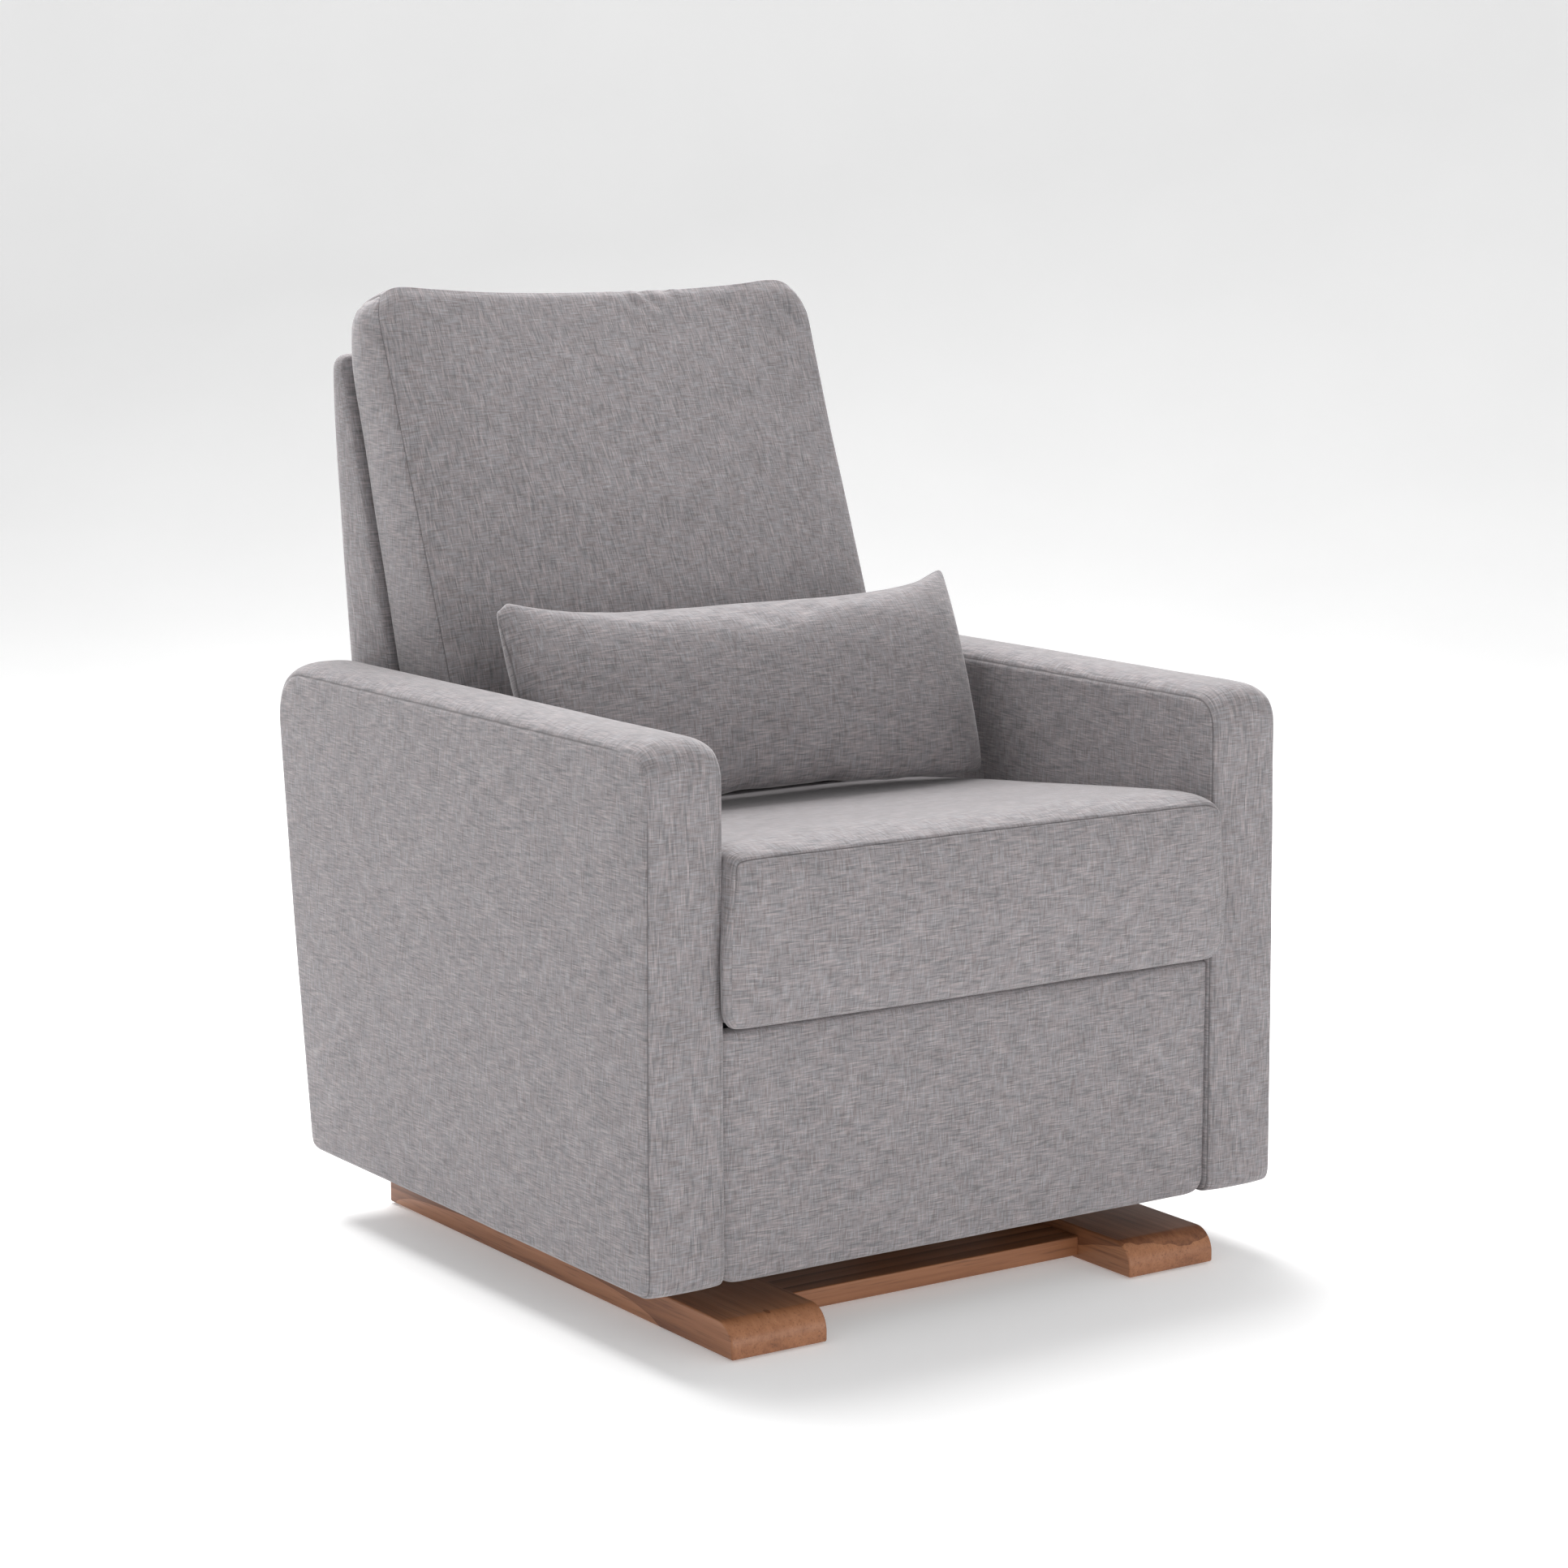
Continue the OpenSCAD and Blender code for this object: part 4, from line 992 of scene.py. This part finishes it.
def build_pillow():
    """Two sheets sewn round a knife edge, filled, then settled by the cloth simulation."""
    half_w, half_h, thick = 279.0, 119.0, 58.0
    nx, nz = 74, 34
    centre_x, centre_y, centre_z = -1.5, 17.0, 562.0
    tilt = math.radians(20)

    def crowded(steps):
        """Positions in -1..1, closer together towards both ends."""
        t = np.linspace(-1, 1, steps + 1)
        return np.sign(t) * (1 - (1 - np.abs(t)) ** 1.35)

    gx, gz = np.meshgrid(crowded(nx), crowded(nz), indexing="ij")
    gx, gz = gx.ravel(), gz.ravel()
    px, pz = pillow_edge(gx, gz, half_w, half_h)
    puff = thick * np.clip(1 - np.abs(gx) ** 4.5, 0, 1) ** 0.55 * np.clip(1 - np.abs(gz) ** 2.7, 0, 1) ** 0.60
    n = len(gx)
    idx = np.arange(n).reshape(nx + 1, nz + 1)
    edge = np.zeros((nx + 1, nz + 1), bool)
    edge[0, :] = edge[-1, :] = edge[:, 0] = edge[:, -1] = True
    edge = edge.ravel()
    inner = np.where(~edge)[0]
    back_of = np.arange(n)
    back_of[inner] = n + np.arange(len(inner))
    co = np.concatenate([np.column_stack([px, -puff, pz]),
                         np.column_stack([px[inner], puff[inner] * 0.9, pz[inner]])])
    quads, uv = [], []
    for i in range(nx):
        for j in range(nz):
            q = [idx[i, j], idx[i + 1, j], idx[i + 1, j + 1], idx[i, j + 1]]
            t = [(px[v] * 1.06, pz[v] * 1.12) for v in q]
            quads.append(q)
            uv.append(t)
            quads.append([back_of[v] for v in q][::-1])
            uv.append([(a + 900, b) for a, b in t][::-1])
    seam = np.zeros(len(co))
    seam[np.where(edge)[0]] = 1
    ob = make_mesh("lumbar_pillow_cover", co, quads, uv, seam)
    inflate(ob, pressure=3.0, frames=16, cap=9.0, pins=None, stiff=30.0, mass=0.3)
    c = coords(ob) / MM
    tuck_under(c, np.concatenate([gx, gx[inner]]), np.concatenate([gz, gz[inner]]))
    y = c[:, 1] * math.cos(tilt) + c[:, 2] * math.sin(tilt)
    z = -c[:, 1] * math.sin(tilt) + c[:, 2] * math.cos(tilt)
    set_coords(ob, np.column_stack([c[:, 0] + centre_x, y + centre_y, z + centre_z]) * MM)
    subdivide(ob)
    groove(ob, depth=0.6, power=1.2)
    soften(ob, amount=1.4, scale=9.0, seed=71)
    return ob


finish_piece(build_pillow(), "pillow", FABRIC, ["lumbar_pillow"])


# ------------------------------------------------------------------ wood base

def wood_prism(name, outline, x0, x1, bevel, material):
    """An outline in (y, z) extruded along X with softened edges, all in millimetres."""
    bm = bmesh.new()
    ring0 = [bm.verts.new((x0 * MM, y * MM, z * MM)) for y, z in outline]
    ring1 = [bm.verts.new((x1 * MM, y * MM, z * MM)) for y, z in outline]
    n = len(outline)
    bm.faces.new(ring0[::-1])
    bm.faces.new(ring1)
    for i in range(n):
        j = (i + 1) % n
        bm.faces.new([ring0[i], ring0[j], ring1[j], ring1[i]])
    bmesh.ops.recalc_face_normals(bm, faces=bm.faces)
    sharp = [e for e in bm.edges if e.calc_face_angle(0) > math.radians(25)]
    bmesh.ops.bevel(bm, geom=sharp, offset=bevel * MM, segments=3, profile=0.5, affect="EDGES",
                    clamp_overlap=True)
    mesh = bpy.data.meshes.new(name)
    bm.to_mesh(mesh)
    bm.free()
    for p in mesh.polygons:
        p.use_smooth = True
    mesh.materials.append(material)
    ob = bpy.data.objects.new(name, mesh)
    COLLECTION.objects.link(ob)
    m = ob.modifiers.new("normals", "WEIGHTED_NORMAL")
    m.keep_sharp = True
    return ob


def runner_outline(lo, hi, r):
    """A rectangle in (y, z) whose upper front corner is a quarter circle."""
    steps = 14
    pts = [(lo[1], lo[2]), (hi[1], lo[2]), (hi[1], hi[2])]
    cy, cz = lo[1] + r, hi[2] - r
    for k in range(steps + 1):
        t = math.pi / 2 + math.pi / 2 * k / steps
        pts.append((cy + r * math.cos(t), cz + r * math.sin(t)))
    return pts


RUNNER_NOSE = 24.0
RUNNER_BEVEL = 2.2
STRETCHER_BEVEL = 1.6
STRETCHER_REACH = 0.5

for side, look in (("left", WALNUT_Y), ("right", WALNUT_Y2)):
    lo, hi = mm_box(side + "_runner")
    outline = runner_outline(lo, hi, RUNNER_NOSE)
    ob = wood_prism(side + "_runner_wood", outline, lo[0], hi[0], RUNNER_BEVEL, look)
    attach(ob, "base")
    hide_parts(side + "_runner")
for side in ("front", "rear"):
    lo, hi = mm_box(side + "_stretcher")
    outline = [(lo[1], lo[2]), (hi[1], lo[2]), (hi[1], hi[2]), (lo[1], hi[2])]
    ob = wood_prism(side + "_stretcher_wood", outline, lo[0] - STRETCHER_REACH, hi[0] + STRETCHER_REACH,
                    STRETCHER_BEVEL, WALNUT_X)
    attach(ob, "base")
    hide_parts(side + "_stretcher")


# ------------------------------------------------------------------ camera, light, floor

CAMERA_PLACE = (-2.13635, -3.20013, 1.08984)
CAMERA_LOOKS_DOWN = 9.1876
CAMERA_TURN = -34.085
CAMERA_LENS = 86.17
FLOOR_GLOW = 0.24
WORLD_GLOW = 0.44


def add_camera():
    """The camera that was fitted to the photograph."""
    data = bpy.data.cameras.new("camera")
    data.sensor_width = 36.0
    data.lens = CAMERA_LENS
    data.clip_end = 60
    camera = bpy.data.objects.new("camera", data)
    COLLECTION.objects.link(camera)
    camera.location = CAMERA_PLACE
    camera.rotation_euler = (math.radians(90 - CAMERA_LOOKS_DOWN), 0, math.radians(CAMERA_TURN))
    bpy.context.scene.camera = camera


def studio_white():
    """A pale matt floor that glows a little, so that it comes out near white."""
    m = Nodes("studio_floor")
    cloud = m.noise(m.new("ShaderNodeTexCoord").outputs["Object"], 3.0, 2.0)
    m.link(m.ramp(cloud, [(0.3, (0.90, 0.90, 0.90)), (0.7, (0.92, 0.92, 0.92))]), m.bsdf.inputs["Base Color"])
    m.link(m.map_range(cloud, 0, 1, 0.8, 0.9), m.bsdf.inputs["Roughness"])
    m.bsdf.inputs["Emission Color"].default_value = (1, 1, 1, 1)
    m.bsdf.inputs["Emission Strength"].default_value = FLOOR_GLOW
    return m.mat


def build_backdrop():
    """A floor that curves up into a wall behind the chair, just under Z = 0."""
    half_width, front_y, curve_y, radius, wall_top = 10.0, -9.0, 4.0, 3.0, 9.0
    profile = [(front_y, 0.0)]
    for t in np.linspace(0, math.pi / 2, 16):
        profile.append((curve_y + radius * math.sin(t), radius - radius * math.cos(t)))
    profile.append((curve_y + radius, wall_top))
    bm = bmesh.new()
    rows = [[bm.verts.new((x, y, z)) for y, z in profile] for x in (-half_width, half_width)]
    for i in range(len(profile) - 1):
        bm.faces.new([rows[0][i], rows[1][i], rows[1][i + 1], rows[0][i + 1]])
    mesh = bpy.data.meshes.new("backdrop")
    bm.to_mesh(mesh)
    bm.free()
    for p in mesh.polygons:
        p.use_smooth = True
    mesh.materials.append(studio_white())
    backdrop = bpy.data.objects.new("backdrop", mesh)
    COLLECTION.objects.link(backdrop)
    backdrop.location.z = -0.0005
    backdrop.rotation_euler = (0, 0, math.radians(-34))
    return backdrop


def add_world():
    """An even white surround."""
    world = bpy.data.worlds.new("studio")
    bpy.context.scene.world = world
    world.use_nodes = True
    background = world.node_tree.nodes["Background"]
    background.inputs["Color"].default_value = (1, 1, 1, 1)
    background.inputs["Strength"].default_value = WORLD_GLOW


def area(name, place, target, size, power):
    """A rectangular light turned towards a point."""
    data = bpy.data.lights.new(name, "AREA")
    data.shape = "RECTANGLE"
    data.size, data.size_y = size
    data.energy = power
    light = bpy.data.objects.new(name, data)
    COLLECTION.objects.link(light)
    light.location = place
    light.rotation_euler = (Vector(target) - Vector(place)).to_track_quat("-Z", "Y").to_euler()


add_camera()
bpy.context.scene.view_settings.view_transform = "Standard"
backdrop = build_backdrop()
add_world()
area("top_light", (0.2, 1.5, 3.2), (0, 0, 0.4), (3.0, 2.6), 205)
area("side_light", (-3.5, -1.5, 0.9), (0, 0, 0.4), (2.4, 1.5), 12)
area("front_fill", (0.6, -3.9, 0.8), (0, 0, 0.3), (3.2, 1.4), 43)
